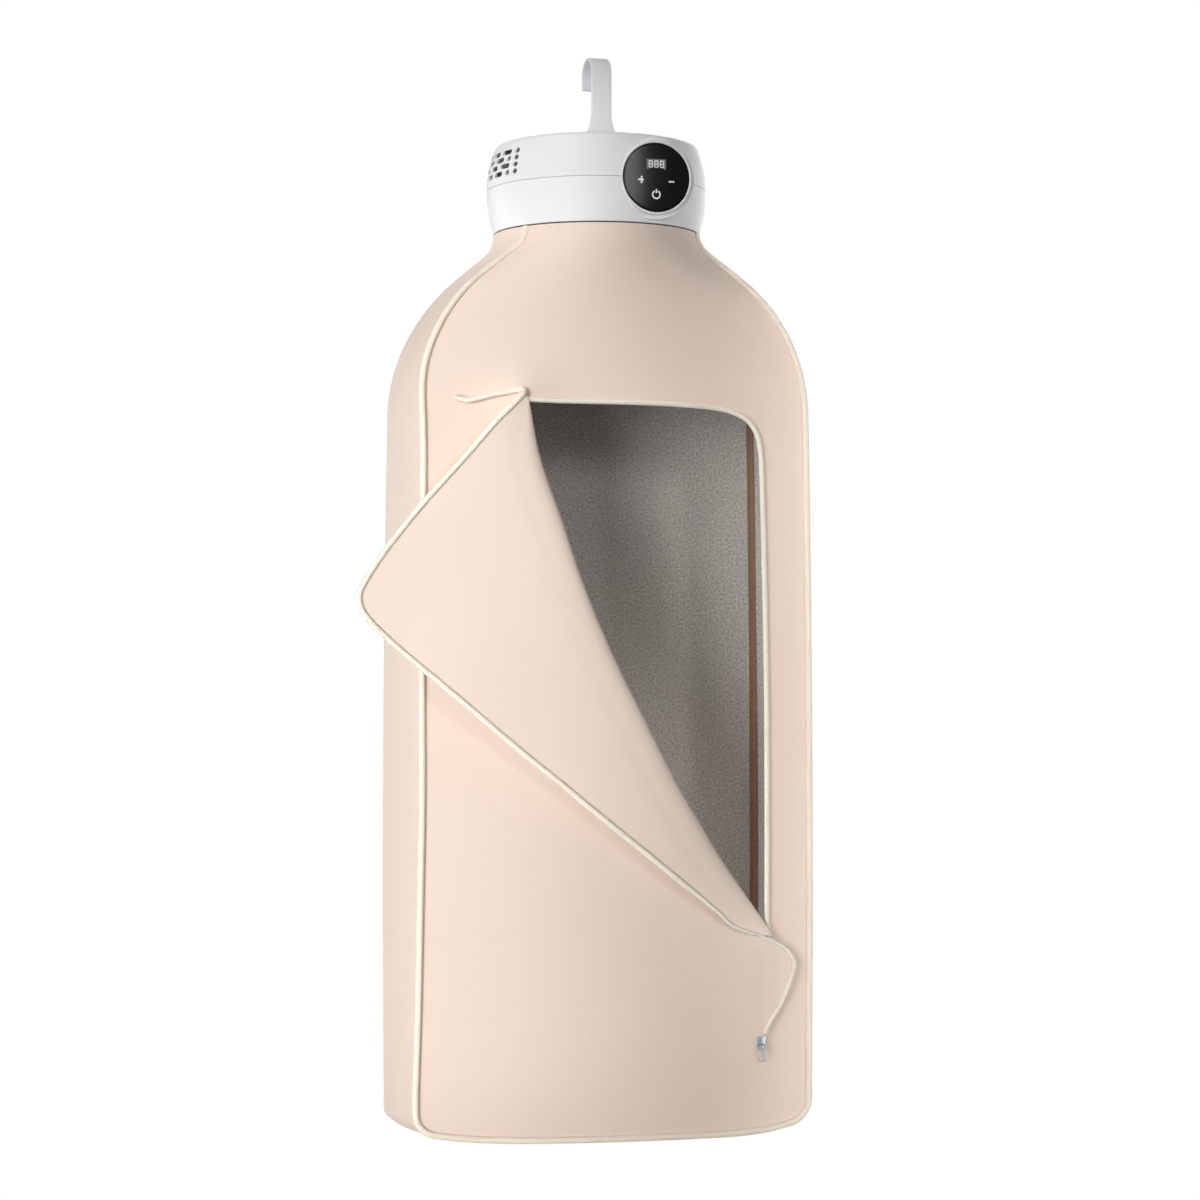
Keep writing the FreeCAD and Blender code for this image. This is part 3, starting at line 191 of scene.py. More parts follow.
# ABS, injection moulded and left white: a soft satin with almost no grain.
whitePlastic = plasticMaterial("whiteAbs", {
    "colour": "#F1F1F3", "roughness": 0.5, "grain": 0.8, "bump": 0.04, "shine": 0.35})
# Glass-filled nylon and phenolic: dull greys and blacks inside the head.
greyPlastic = plasticMaterial("greyNylon", {
    "colour": "#8E8F92", "roughness": 0.5, "grain": 0.6, "bump": 0.1})
blackPlastic = plasticMaterial("blackPhenolic", {
    "colour": "#2A2A2D", "roughness": 0.45, "grain": 0.6, "bump": 0.1})
# Epoxy board under green solder mask: glossy, with a slight weave from the glass cloth.
boardPlastic = plasticMaterial("greenSolderMask", {
    "colour": "#1E5A34", "roughness": 0.32, "grain": 0.5, "bump": 0.12})
# Silicone rubber: the dark brown-grey line under the rim.
gasketRubber = plasticMaterial("siliconeRubber", {
    "colour": "#4A3A32", "roughness": 0.7, "grain": 0.4, "bump": 0.2})
# Printed marks and the display's window: a pale ink on a smoked grey. The same pale paints the display's
# segments as lit: painted glow.
inkAndLitSegments = plasticMaterial("paleInkAndLitSegments", {
    "colour": "#F2F2F3", "roughness": 0.4, "grain": 0.3, "bump": 0.02})
windowInk = plasticMaterial("smokedWindow", {
    "colour": "#565658", "roughness": 0.35, "grain": 0.3, "bump": 0.02})


def metalMaterial(name, look):
    # Drawn or cast metal: a stretched noise makes the fine scratches in gloss and bump.
    material, tree, shader = newMaterial(name, look["colour"],
                                         {"Metallic": 1, "Roughness": look["roughness"]})
    place = addNode(tree, "ShaderNodeTexCoord").outputs["Object"]
    turned = addNode(tree, "ShaderNodeMapping", {"Scale": look["stretch"]}, {"Vector": place})
    scratch = addNoise(tree, look["grain"], 3, turned.outputs[0])
    addGloss(tree, shader, scratch, look["roughness"] - 0.08, look["roughness"] + 0.1)
    addBump(tree, shader, 0.1, 0.1, scratch.outputs["Fac"])
    return material


# Drawn steel for screws, shaft and rail, and rolled aluminium for the heater's fins.
steel = metalMaterial("drawnSteel", {
    "colour": "#BFC1C4", "roughness": 0.3, "grain": 1.2, "stretch": (1, 1, 0.1)})
aluminium = metalMaterial("aluminiumFins", {
    "colour": "#C9CACB", "roughness": 0.4, "grain": 1, "stretch": (0.2, 1, 1)})
# Zinc casting with a blue-grey plating: a soft metal gleam.
zinc = metalMaterial("platedZinc", {
    "colour": "#90959A", "roughness": 0.34, "grain": 0.8, "stretch": (1, 1, 0.3)})

# Soda-lime glass with a black printed back: the ink shows through a glossy face.
blackGlass, glassTree, glassShader = newMaterial("blackPrintedGlass", "#060607", {
    "Roughness": 0.12, "IOR": 1.5, "Specular IOR Level": 0.07})
smear = addNoise(glassTree, 18, 3, addNode(glassTree, "ShaderNodeTexCoord").outputs["Object"])
addGloss(glassTree, glassShader, smear, 0.1, 0.14)
print("materials ready")

nodeMaterials = {
    whitePlastic: ("hook", "lower_shell", "upper_shell", "control_bezel", "outlet_grille", "cord_gland"),
    blackGlass: ("control_glass",),
    boardPlastic: ("control_board", "power_board"),
    # The intake screen behind the vents takes this black so the vents read dark: painted shade inside the
    # head.
    blackPlastic: ("power_components", "thermal_cutout", "display_module", "touch_pads", "intake_screen"),
    greyPlastic: ("fan_shroud", "impeller", "heater_duct"),
    aluminium: ("heater_core",),
    steel: ("housing_screws", "hook_screws", "motor_shaft", "motor_can", "motor_bearings", "motor_rotor",
            "motor_screws", "motor_bracket", "grille_screws", "board_screws", "garment_rail"),
    gasketRubber: ("neck_gasket",),
    bagCloth: ("front_panel", "back_panel", "left_gusset", "right_gusset", "bottom_gusset", "flap_panel",
               "door_fold", "door_tongue", "neck_collar"),
    pipingCloth: ("front_piping",),
    zipCloth: ("door_cord", "zip_lead_cord", "flap_cord", "tail_cord"),
    bindingCloth: ("seam_bindings",),
    zinc: ("zip_slider", "zip_pull", "zip_stops"),
}
for material, names in nodeMaterials.items():
    for name in names:
        nodes[name].data.materials.clear()
        nodes[name].data.materials.append(material)


def newPiece(name, bm, materials, body="dryer", smooth=True):
    mesh = bpy.data.meshes.new(name)
    bm.to_mesh(mesh)
    bm.free()
    for face in mesh.polygons:
        face.use_smooth = smooth
    for material in materials:
        mesh.materials.append(material)
    piece = bpy.data.objects.new(name, mesh)
    scene.collection.objects.link(piece)
    if body:
        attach(piece, body)
    return piece


def gridMesh(columns, rows, placeAt, mapAt=None):
    # A flat grid whose point (u, v), from 0 to 1, goes to placeAt(u, v) in millimetres.
    bm = bmesh.new()
    bmesh.ops.create_grid(bm, x_segments=columns, y_segments=rows, size=0.5)
    layer = bm.loops.layers.uv.new("Cloth")
    maps = {}
    for vert in bm.verts:
        u, v = vert.co.x + 0.5, vert.co.y + 0.5
        place = Vector(placeAt(u, v))
        maps[vert] = mapAt(u, v, place) if mapAt else (place.x, place.z)
        vert.co = place * mm
    for face in bm.faces:
        for loop in face.loops:
            loop[layer].uv = Vector(maps[loop.vert]) * mm
    return bm


def thicken(piece, thickness, offset=-1, innerMaterial=0):
    # The cut edge is kept sharp, so the thin side doesn't shade the face.
    uses = Counter(key for face in piece.data.polygons for key in face.edge_keys)
    for edge in piece.data.edges:
        edge.use_edge_sharp = uses[edge.key] == 1
    wall = piece.modifiers.new("cloth", "SOLIDIFY")
    wall.thickness = thickness * mm
    wall.offset = offset
    wall.material_offset = innerMaterial
    wall.use_even_offset = True
    return piece


def smoothRun(points, count):
    # Evenly spaced points on a smooth line through the given ones.
    points = [Vector(point) for point in points]
    ends = [points[0] * 2 - points[1]] + points + [points[-1] * 2 - points[-2]]
    fine = []
    for i in range(1, len(ends) - 2):
        a, b, c, d = ends[i - 1:i + 3]
        for step in range(16):
            t = step / 16
            fine.append((b * 2 + (c - a) * t + (a * 2 - b * 5 + c * 4 - d) * t ** 2
                         + (b * 3 - a - c * 3 + d) * t ** 3) / 2)
    fine.append(points[-1])
    reach = [0]
    for first, second in zip(fine, fine[1:]):
        reach.append(reach[-1] + (second - first).length)
    run, k = [], 0
    for index in range(count):
        target = reach[-1] * index / (count - 1)
        while k < len(fine) - 2 and reach[k + 1] < target:
            k += 1
        share = (target - reach[k]) / (reach[k + 1] - reach[k])
        run.append(fine[k].lerp(fine[k + 1], min(1, share)))
    return run


def flatRun(pairs, count):
    return smoothRun([(first, second, 0) for first, second in pairs], count)


def weld(bm, distance=1e-6):
    # Joins points that lie together, and turns every face outward.
    bmesh.ops.remove_doubles(bm, verts=bm.verts, dist=distance)
    bmesh.ops.recalc_face_normals(bm, faces=bm.faces)


def tubeMesh(name, points, radius, taper=None):
    # A round cord along the points, made as a bevelled curve; taper thins it along its run.
    curve = bpy.data.curves.new(name + "Line", "CURVE")
    curve.dimensions = "3D"
    curve.bevel_depth = radius * mm
    curve.bevel_resolution = 5
    curve.use_fill_caps = True
    curve.resolution_u = 3
    spline = curve.splines.new("NURBS")
    spline.points.add(len(points) - 1)
    for index, (point, place) in enumerate(zip(spline.points, points)):
        point.co = (*(Vector(place) * mm), 1)
        point.radius = taper(index / (len(points) - 1)) if taper else 1
    spline.order_u = 3
    spline.use_endpoint_u = True
    line = bpy.data.objects.new(name + "Line", curve)
    scene.collection.objects.link(line)
    bpy.context.view_layer.update()
    mesh = bpy.data.meshes.new_from_object(line.evaluated_get(bpy.context.evaluated_depsgraph_get()))
    bpy.data.objects.remove(line)
    bm = bmesh.new()
    bm.from_mesh(mesh)
    weld(bm)
    bpy.data.meshes.remove(mesh)
    return bm


def tubePiece(name, points, radius, material, body="dryer", taper=None):
    return newPiece(name, tubeMesh(name, points, radius, taper), [material], body)


def mix(start, end, share):
    return start + (end - start) * share


def limit(t):
    return min(1, max(0, t))


def ease(t):
    t = limit(t)
    return t * t * (3 - 2 * t)


# Bag outline: the front seam leaves the neck, flares, slopes over the shoulder and drops to the bottom

bag = {
    "neckRadius": 113.5, "neckZ": -176.7, "seamAngle": 57.5, "sideX": 219, "sideY": -84,
    "flareBend": 30, "shoulderBend": 186, "slope": math.radians(53.3), "neckCrown": 52.5, "bodyCrown": 8,
    "cornerBend": 24, "cornerZ": -1110, "backBend": 13, "backRound": 9, "sideBulge": 4,
    "bottomZ": -1153, "sag": 6, "lean": -2.5, "cloth": 1.6, "puffEdge": 95, "groove": 1.3, "grooveReach": 4.5,
    "ripple": 1.1, "rippleWide": 150, "rippleTall": 190,
    # The bag is widest two thirds of the way down, and narrows above and below
    "widestZ": -850, "widestBy": 1, "narrowBy": 4.2, "narrowReach": 472, "narrowest": -3.2,
    # How the hanging cloth sits: the left front seam drawn in by height, the bottom seam lifted by width
    "drawnIn": [(-330, 0), (-346, 1), (-367, 3), (-388, 4.4), (-430, 5.8), (-560, 6.7), (-683, 7.3),
                (-788, 8.1), (-893, 6.3), (-998, 4), (-1061, 1.8), (-1103, 0)],
    "lifted": [(-222, 3.6), (-206, 5.2), (-184, 3.1), (-151, 1), (-107, 0), (-20, -1), (46, -2.1), (89, -3.1),
               (133, -4.2), (166, -3.1), (188, 0), (210, 3)],
    "liftTop": -1060, "liftReach": 80,
}
slope, flare, shoulder = bag["slope"], bag["flareBend"], bag["shoulderBend"]
neckX = bag["neckRadius"] * math.sin(math.radians(bag["seamAngle"]))
neckY = -bag["neckRadius"] * math.cos(math.radians(bag["seamAngle"]))
seamSpan = math.hypot(bag["sideX"] - neckX, bag["sideY"] - neckY)
slopeRun = (seamSpan - (flare + shoulder) * (1 - math.cos(slope))) / math.sin(slope)
slopeTop = bag["neckZ"] - flare * math.sin(slope)
slopeLow = slopeTop - slopeRun * math.cos(slope)
shoulderZ = slopeLow - shoulder * math.sin(slope)


def seamShare(z):
    # How far the seam has run at this height: 0 at the neck, 1 at the side.
    if z >= slopeTop:
        along = flare * (1 - math.cos(math.asin(limit((bag["neckZ"] - z) / flare))))
    elif z >= slopeLow:
        along = flare * (1 - math.cos(slope)) + (slopeTop - z) * math.tan(slope)
    elif z > shoulderZ:
        along = seamSpan - shoulder * (1 - math.cos(math.asin((z - shoulderZ) / shoulder)))
    else:
        along = seamSpan
    return along / seamSpan


def seamX(z):
    share = seamShare(z)
    away = (z - bag["widestZ"]) / bag["narrowReach"]
    swell = max(bag["narrowest"], bag["widestBy"] - bag["narrowBy"] * away ** 2)
    return mix(neckX, bag["sideX"], share) + swell * share ** 2


def seamY(z):
    return mix(neckY, bag["sideY"], seamShare(z))


def leanX(z):
    return bag["lean"] * seamShare(z)


def valueAt(knots, place):
    # The value at a place on a line of (place, value) points, held beyond its ends.
    for first, second in zip(knots, knots[1:]):
        if (first.x - place) * (second.x - place) <= 0 and first.x != second.x:
            return first.y + (second.y - first.y) * (place - first.x) / (second.x - first.x)
    return min((knots[0], knots[-1]), key=lambda knot: abs(knot.x - place)).y


drawnLine = flatRun(bag["drawnIn"], 60)
liftLine = flatRun(bag["lifted"], 60)


def drawnAt(x, z):
    return valueAt(drawnLine, z) if x < 0 else 0


def liftAt(x, z):
    return valueAt(liftLine, x) * ease((bag["liftTop"] - z) / bag["liftReach"])


def cornerOf(bend):
    # The centre of a bottom corner's bend, and the sagging line from one corner to the other.
    x = seamX(bag["cornerZ"]) - bend
    radius = (x ** 2 + bag["sag"] ** 2) / (2 * bag["sag"])
    top = radius + bag["bottomZ"]
    z = top - math.sqrt((radius - bend) ** 2 - x ** 2)
    return {"bend": bend, "x": x, "z": z, "side": x + bend, "sagRadius": radius, "sagZ": top,
            "turn": math.atan2(x, top - z)}


frontCorner, backCorner = cornerOf(bag["cornerBend"]), cornerOf(bag["backBend"])


def bottomAt(x, corner=frontCorner, inset=0):
    # The lowest height of the outline at this width, brought in by inset.
    bend = corner["bend"] - inset
    if abs(x) > corner["x"] + bend * math.sin(corner["turn"]):
        return corner["z"] - math.sqrt(max(0, bend ** 2 - (abs(x) - corner["x"]) ** 2))
    return corner["sagZ"] - math.sqrt((corner["sagRadius"] - inset) ** 2 - x ** 2)


def crownAt(x, z, half):
    # How far the cloth stands out from a straight line between its seams.
    rise = mix(bag["neckCrown"], bag["bodyCrown"], seamShare(z))
    radius = (half ** 2 + rise ** 2) / (2 * rise)
    reach = min(abs(x), half)
    low = (z - bottomAt(min(abs(x), frontCorner["side"]))) / bag["puffEdge"]
    edge = 1 - (1 - limit(low)) ** 2
    spot = Vector((x / bag["rippleWide"], z / bag["rippleTall"], 3.1))
    wave = noise.noise(spot) * bag["ripple"] * seamShare(z) ** 2
    return (math.sqrt(radius ** 2 - reach ** 2) - radius + rise + wave * (1 - (reach / half) ** 2)) * edge


def panelY(x, z):
    # How far forward the front panel lies, with a groove where it meets the piping.
    half = seamX(z)
    aside = x - leanX(z)
    aside *= half / (half - drawnAt(aside, z))
    reach = min(half - abs(aside), z - bottomAt(min(abs(aside), frontCorner["side"])))
    groove = bag["groove"] * (1 - ease(reach / bag["grooveReach"]))
    return seamY(z) - crownAt(aside, z, half) + groove


def spread(t):
    return 1.5 * t - 0.5 * t ** 3  # packs the columns towards the edges, where the corners are round


# Front panel, with the door's opening

door = {
    # The fixed edge of the opening, from the top left round to the lower right
    "edge": [(-108, -366), (-101.8, -366.3), (-66.6, -366.6), (-20.2, -366.4), (24.5, -366.5), (81.9, -368.2),
             (117.1, -371.6), (139.9, -379), (152.8, -390.8), (159.3, -409.5), (162, -447.5), (164.7, -558.1),
             (166.9, -684), (167.4, -800), (167.2, -930.4), (166.4, -990), (165, -1052)],
    # The outer line of the fold, from the top to its lower end
    "fold": [(-102.6, -369.4), (-89.4, -430.6), (-67, -492), (-44.3, -557), (-21, -613), (1.2, -660),
             (20.8, -697), (41.5, -737), (64, -779), (86.6, -817), (109.2, -854.3), (142.3, -900.3),
             (166.3, -932.3), (173, -942)],
    # The opening stops short of the fixed edge's end, and is tucked in under the fold
    "openLow": -946, "openEnd": Vector((158, -948, 0)), "tuck": 5,
    # The fixed cord stands proud of the panel, and sinks into it below the opening
    "cordRadius": 2.8, "cordStand": 0.6, "cordSink": 4.5, "sinkTop": -950, "sinkReach": 30,
    # The cloth drawn out at the fold's tip
    "tip": Vector((-107, -360)), "tipLift": 6, "tipReach": 34,
    # The raised cloth beside the zip's slack end
    "ridgeX": 160, "ridgeTop": -915, "ridgeLow": -1085, "ridgeEnds": 50, "ridgeRise": 5,
    "ridgeLeft": 36, "ridgeRight": 10,
}
doorEdge = flatRun(door["edge"], 160)
foldLine = flatRun(door["fold"], 90)
foldLeft = Vector((-0.901, -0.433, 0))  # across the fold, towards the panel
openingLine = ([point for point in doorEdge if point.y > door["openLow"]] + [door["openEnd"]]
               + [point + foldLeft * door["tuck"] for point in reversed(foldLine)])


def insideOpening(x, z):
    inside = False
    for first, second in zip(openingLine, openingLine[1:] + openingLine[:1]):
        if (first.y > z) != (second.y > z):
            if x < first.x + (z - first.y) / (second.y - first.y) * (second.x - first.x):
                inside = not inside
    return inside


def nearestOpening(x, z):
    spot = Vector((x, z, 0))
    best = None
    for first, second in zip(openingLine, openingLine[1:] + openingLine[:1]):
        run = second - first
        share = limit((spot - first).dot(run) / max(run.length_squared, 1e-9))
        near = first + run * share
        if best is None or (near - spot).length < (best - spot).length:
            best = near
    return best


def frontY(x, z):
    # The front panel's own surface, drawn out a little where the zip tugs at the fold's tip and at its end.
    tip = door["tip"]
    pull = math.exp(-(((x - tip.x) ** 2 + (z - tip.y) ** 2) / door["tipReach"] ** 2))
    aside = x - door["ridgeX"]
    ridge = math.exp(-(aside / (door["ridgeLeft"] if aside < 0 else door["ridgeRight"])) ** 2)
    ends = door["ridgeEnds"]
    ridge *= ease((door["ridgeTop"] - z) / ends) * ease((z - door["ridgeLow"]) / ends)
    return panelY(x, z) - door["tipLift"] * pull - door["ridgeRise"] * ridge


def frontPlace(u, v):
    across = spread(2 * u - 1)
    low = bottomAt(across * frontCorner["side"])
    z = mix(low, bag["neckZ"], v ** 1.3)  # packs the rows towards the bottom seam
    x = leanX(z) + across * (seamX(z) - drawnAt(across, z))
    return x, frontY(x, z), z + liftAt(x, z)


frontMesh = gridMesh(120, 230, frontPlace)
gone = [face for face in frontMesh.faces
        if insideOpening(face.calc_center_median().x / mm, face.calc_center_median().z / mm)]
rimVerts = {vert for face in gone for vert in face.verts}
bmesh.ops.delete(frontMesh, geom=gone, context="FACES")
for vert in rimVerts:
    if vert.is_valid and vert.is_boundary:
        near = nearestOpening(vert.co.x / mm, vert.co.z / mm)
        vert.co = Vector((near.x, frontY(near.x, near.y), near.y)) * mm
frontPanel = thicken(newPiece("frontPanel", frontMesh, [bagCloth]), bag["cloth"])
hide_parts("front_panel")
print("front panel ready")

# Side and bottom strip, one run of cloth from neck to neck, rounded into the back


def outlineRun(corner):
    # The seam from the left of the neck, round the bottom and up to the right: x, z, outward x and z.
    run = []
    for index in range(46):
        z = mix(bag["neckZ"], shoulderZ, (index / 46) ** 1.3)
        run.append((seamX(z), z, 1, 0))
    for index in range(70):
        z = mix(shoulderZ, corner["z"], index / 70)
        run.append((seamX(z), z, 1, 0))
    for index in range(14):
        turn = (math.pi / 2 - corner["turn"]) * index / 14
        outX, outZ = math.cos(turn), -math.sin(turn)
        run.append((corner["x"] + corner["bend"] * outX, corner["z"] + corner["bend"] * outZ, outX, outZ))
    joint = corner["x"] + corner["bend"] * math.sin(corner["turn"])
    for index in range(29):
        x = joint * (1 - index / 28)
        z = bottomAt(x, corner)
        run.append((x, z, x / corner["sagRadius"], (z - corner["sagZ"]) / corner["sagRadius"]))
    return [Vector((-x, z, -outX, outZ)) for x, z, outX, outZ in run] + [Vector(row) for row in run[-2::-1]]


backRun = outlineRun(backCorner)
frontRun = [Vector((x + drawnAt(x, z), z + liftAt(x + leanX(z), z), outX, outZ))
            for x, z, outX, outZ in outlineRun(frontCorner)]


def backRound(z):
    return bag["backRound"] * seamShare(z) ** 1.5


def stripPlace(u, v):
    row = round(v * (len(frontRun) - 1))
    straight = 0.76  # the share of the strip's columns before its rounded back edge
    x, z, outX, outZ = frontRun[row].lerp(backRun[row], min(1, u / straight))
    share = seamShare(z)
    deep = -seamY(z)
    bend = backRound(z)
    bulge = (bag["neckRadius"] - neckX) * (1 - share) + bag["sideBulge"] * share
    radius = (deep ** 2 + bulge ** 2) / (2 * bulge)
    y = -deep + (2 * deep - bend) * min(1, u / straight)
    turn = max(0, u - straight) / (1 - straight) * math.pi / 2
    out = math.sqrt(radius ** 2 - y ** 2) - radius + bulge
    out = out * (1 - turn / (math.pi / 2)) - bend * (1 - math.cos(turn))
    y += bend * math.sin(turn)
    return x + leanX(z) + outX * out, y, z + outZ * out


def stripMap(u, v, place):
    return place.y, v * 2600  # the strip's own length, neck to neck


stripMesh = gridMesh(34, len(frontRun) - 1, stripPlace, stripMap)
sideStrip = newPiece("sideStrip", stripMesh, [bagCloth, liningCloth])
thicken(sideStrip, bag["cloth"], innerMaterial=1)
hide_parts("left_gusset", "right_gusset", "bottom_gusset")


def backPlace(u, v):
    across = spread(1 - 2 * u)
    bend = bag["backRound"]
    low = bottomAt(across * (backCorner["side"] - bend), backCorner, bend)
    z = mix(low, bag["neckZ"], v)
    half = seamX(z) - backRound(z)
    x = across * half
    lift = limit((z - low) / bag["puffEdge"])
    clear = frontCorner["z"] + 100  # above this height the crown is free of the bottom seam
    rise = crownAt(x, max(z, clear), half) * (1 - (1 - lift) ** 2)
    return x + leanX(z), -seamY(z) + rise, z


backPanel = newPiece("backPanel", gridMesh(96, 200, backPlace), [bagCloth, liningCloth])
thicken(backPanel, bag["cloth"], innerMaterial=1)
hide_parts("back_panel")

# Piping in the front seam; the back seam has none

piping = {"radius": 3.75}
pipingRun = [(x + leanX(z), seamY(z), z) for x, z, _, _ in frontRun[::2]]
frontPiping = tubePiece("frontPiping", pipingRun, piping["radius"], pipingCloth)
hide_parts("front_piping")
print("bag ready")

# Zip cords: the fixed one round the opening, and the short lead up to the fold's tip

doorRun = []
for point in doorEdge[::2]:
    sink = door["cordSink"] * ease((door["sinkTop"] - point.y) / door["sinkReach"])
    doorRun.append((point.x, frontY(point.x, point.y) - door["cordStand"] + sink, point.y))
doorCord = tubePiece("doorCord", doorRun, door["cordRadius"], zipCloth)
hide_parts("door_cord")
lead = {
    "radius": 2.9,
    "points": [(-179.4, -91, -365.5), (-172, -92, -367.6), (-166, -92.6, -368.2), (-155, -93.6, -365.4),
               (-141.3, -95.2, -361.9), (-125.6, -97.2, -358.9), (-114.5, -98.8, -356.6),
               (-109, -99.8, -356.6), (-107.2, -100.2, -359.4)],
}
leadCord = tubePiece("leadCord", smoothRun(lead["points"], 40), lead["radius"], zipCloth)
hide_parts("zip_lead_cord")

# Flap: cloth that rolls round the fold and lies back over the panel

flap = {
    "hinge": Vector((-127.7, -93.5, -364)), "across": Vector((0.901, 0, 0.433)),
    "along": Vector((-0.433, 0, 0.901)), "tilt": math.radians(2.5), "cloth": 1.6,
    # Fullness beside the fold, the stand off the panel, and a slow wave; the first two fade at the lower end
    "lowEnd": -955, "puff": 5, "puffReach": 45, "puffFade": 110,
    "stand": 6.5, "standEnd": 0.6, "standFade": 80, "wave": 2.2, "waveLength": 130, "waveReach": 120,
    # The roll at the fold starts just behind the panel's face
    "roll": 30, "rollShare": 0.4, "rollSink": 0.4, "stillY": -94, "movingY": -99.5,
    "cordRadius": 3.3, "thinEnd": 0.66, "thinFrom": 0.86, "thinOver": 0.1,
    # The free edge with its cord, from the fold's tip round the corner to the lower end
    "edge": [(-107.2, -359.4), (-112.9, -364.6), (-124.4, -375.9), (-139.1, -389.8), (-177.5, -433.1),
             (-218.7, -478), (-254.4, -521.1), (-271.5, -544.5), (-284, -564.4), (-288.8, -578.5),
             (-283.4, -594.2), (-265.4, -613.7), (-233.4, -641.5), (-180.7, -684), (-115.6, -737.5),
             (-71.7, -772), (-28.4, -807), (16.2, -842.1), (60.4, -876.9), (107.3, -913.3), (123, -927.5),
             (139.9, -935.2), (152.5, -939)],
}
flapEdge = flatRun(flap["edge"], 150)


def hingeSpot(x, z):
    spot = Vector((x - flap["hinge"].x, 0, z - flap["hinge"].z))
    return Vector((spot.dot(flap["along"]), spot.dot(flap["across"]), 0))


foldCurve = [hingeSpot(point.x, point.y) for point in foldLine]


def flapY(x, z):
    # The open flap fills out beside the fold, then leans away from the panel by its tilt.
    along, out, _ = hingeSpot(x, z)
    above = z - flap["lowEnd"]
    beside = limit((valueAt(foldCurve, along) - out) / flap["puffReach"])
    fill = flap["puff"] * (1 - (1 - beside) ** 2) * ease(above / flap["puffFade"])
    spot = Vector((x / flap["waveLength"], z / flap["waveLength"], 8.4))
    wave = noise.noise(spot) * flap["wave"] * ease(-out / flap["waveReach"])
    stand = mix(flap["standEnd"], flap["stand"], ease(above / flap["standFade"]))
    return flap["hinge"].y - stand - fill - max(0, -out) * math.tan(flap["tilt"]) - wave


flapRows = 80
foldRun = smoothRun(foldLine, flapRows + 1)
edgeRun = smoothRun(flapEdge, flapRows + 1)
rollColumns = 12
flapColumns = 46


def flapPlace(u, v):
    # Half a turn round the fold from the panel's face, then straight out to the free edge.
    row = round((1 - v) * flapRows)
    outer, edge = foldRun[row], edgeRun[row]
    span = edge - outer
    roll = min(flap["roll"], span.length * flap["rollShare"])
    out = span.normalized()
    start = outer + out * roll
    step = u * flapColumns
    panelSide = frontY(start.x, start.y) + flap["rollSink"]
    flapSide = flapY(start.x, start.y)
    if step <= rollColumns:
        turn = math.pi * step / rollColumns
        spot = start - out * roll * math.sin(turn)
        y = (panelSide + flapSide) / 2 + (panelSide - flapSide) / 2 * math.cos(turn)
    else:
        spot = start.lerp(edge, (step - rollColumns) / (flapColumns - rollColumns))
        y = flapY(spot.x, spot.y)
    return spot.x, y, spot.y


def closedBlend(piece):
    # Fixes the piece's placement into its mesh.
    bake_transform(piece)


def flapTaper(share):
    return mix(1, flap["thinEnd"], ease((share - flap["thinFrom"]) / flap["thinOver"]))


flapMesh = gridMesh(flapColumns, flapRows, flapPlace)
# The flap's inner face wears the paler cloth: painted light.
flapSheet = newPiece("flapSheet", flapMesh, [bagCloth, flapLitCloth], body=None)
thicken(flapSheet, flap["cloth"], offset=0, innerMaterial=1)
closedBlend(flapSheet)
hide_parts("flap_panel", "door_fold")
flapRun = [(point.x, flapY(point.x, point.y), point.y) for point in flapEdge]
flapCord = tubePiece("flapCord", flapRun, flap["cordRadius"], zipCloth, None, flapTaper)
closedBlend(flapCord)
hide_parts("flap_cord")
print("flap ready")

# Tongue: the slack cloth between the fold's lower end and the slider, edged by the last of the cord

tongue = {
    "tail": [(142.4, -95.2, -935.9), (152.4, -95, -939), (164, -94.6, -943.4), (177.1, -93, -949.8),
             (189, -91.4, -957.7), (196.3, -90.6, -969), (195.8, -90.6, -981), (183.2, -91.6, -1011.9),
             (169.9, -92, -1033), (163.4, -91, -1047)],
    "root": [(146, -940), (156, -952), (159, -968), (160, -1000), (160, -1030), (160, -1047)],
    "anchor": 160, "keep": 0.06, "behind": 0.15, "rows": 60,
    "cord": 2.7, "thinStart": 0.7, "thinUntil": 0.15, "thinOver": 0.35,
}
tailRun = smoothRun(tongue["tail"], tongue["rows"] + 1)
rootRun = flatRun(tongue["root"], tongue["rows"] + 1)


def tonguePlace(u, v):
    row = round((1 - v) * tongue["rows"])
    root, edge = rootRun[row], tailRun[row]
    rootY = frontY(root.x, root.y) + tongue["behind"]
    return mix(root.x, edge.x, u), mix(rootY, edge.y, ease(u)), mix(root.y, edge.z, u)


def flatten(piece):
    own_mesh(piece)


def tailTaper(share):
    return mix(tongue["thinStart"], 1, ease((share - tongue["thinUntil"]) / tongue["thinOver"]))


tongueSheet = newPiece("tongueSheet", gridMesh(24, tongue["rows"], tonguePlace), [bagCloth])
thicken(tongueSheet, bag["cloth"])
flatten(tongueSheet)
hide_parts("door_tongue")
tailCord = tubePiece("tailCord", tailRun, tongue["cord"], zipCloth, taper=tailTaper)
flatten(tailCord)
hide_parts("tail_cord")
print("tongue ready")

# Zip metal: a tapered slider with a bridge, a framed pull on its pin, and the stops at the zip's ends


def addBlock(bm, low, high, taper=1):
    # A block between two corners, whose lower end is narrowed by taper.
    low, high = Vector(low), Vector(high)
    for vert in bmesh.ops.create_cube(bm, size=1)["verts"]:
        share = vert.co + Vector((0.5, 0.5, 0.5))
        width = taper if vert.co.z < 0 else 1
        place = Vector([mix(low[i], high[i], share[i]) for i in range(3)])
        place.x = (low.x + high.x) / 2 + (place.x - (low.x + high.x) / 2) * width
        vert.co = place * mm


def soften(piece, width, segments=3):
    edge = piece.modifiers.new("edge", "BEVEL")
    edge.width = width * mm
    edge.segments = segments
    edge.limit_method = "ANGLE"
    return piece


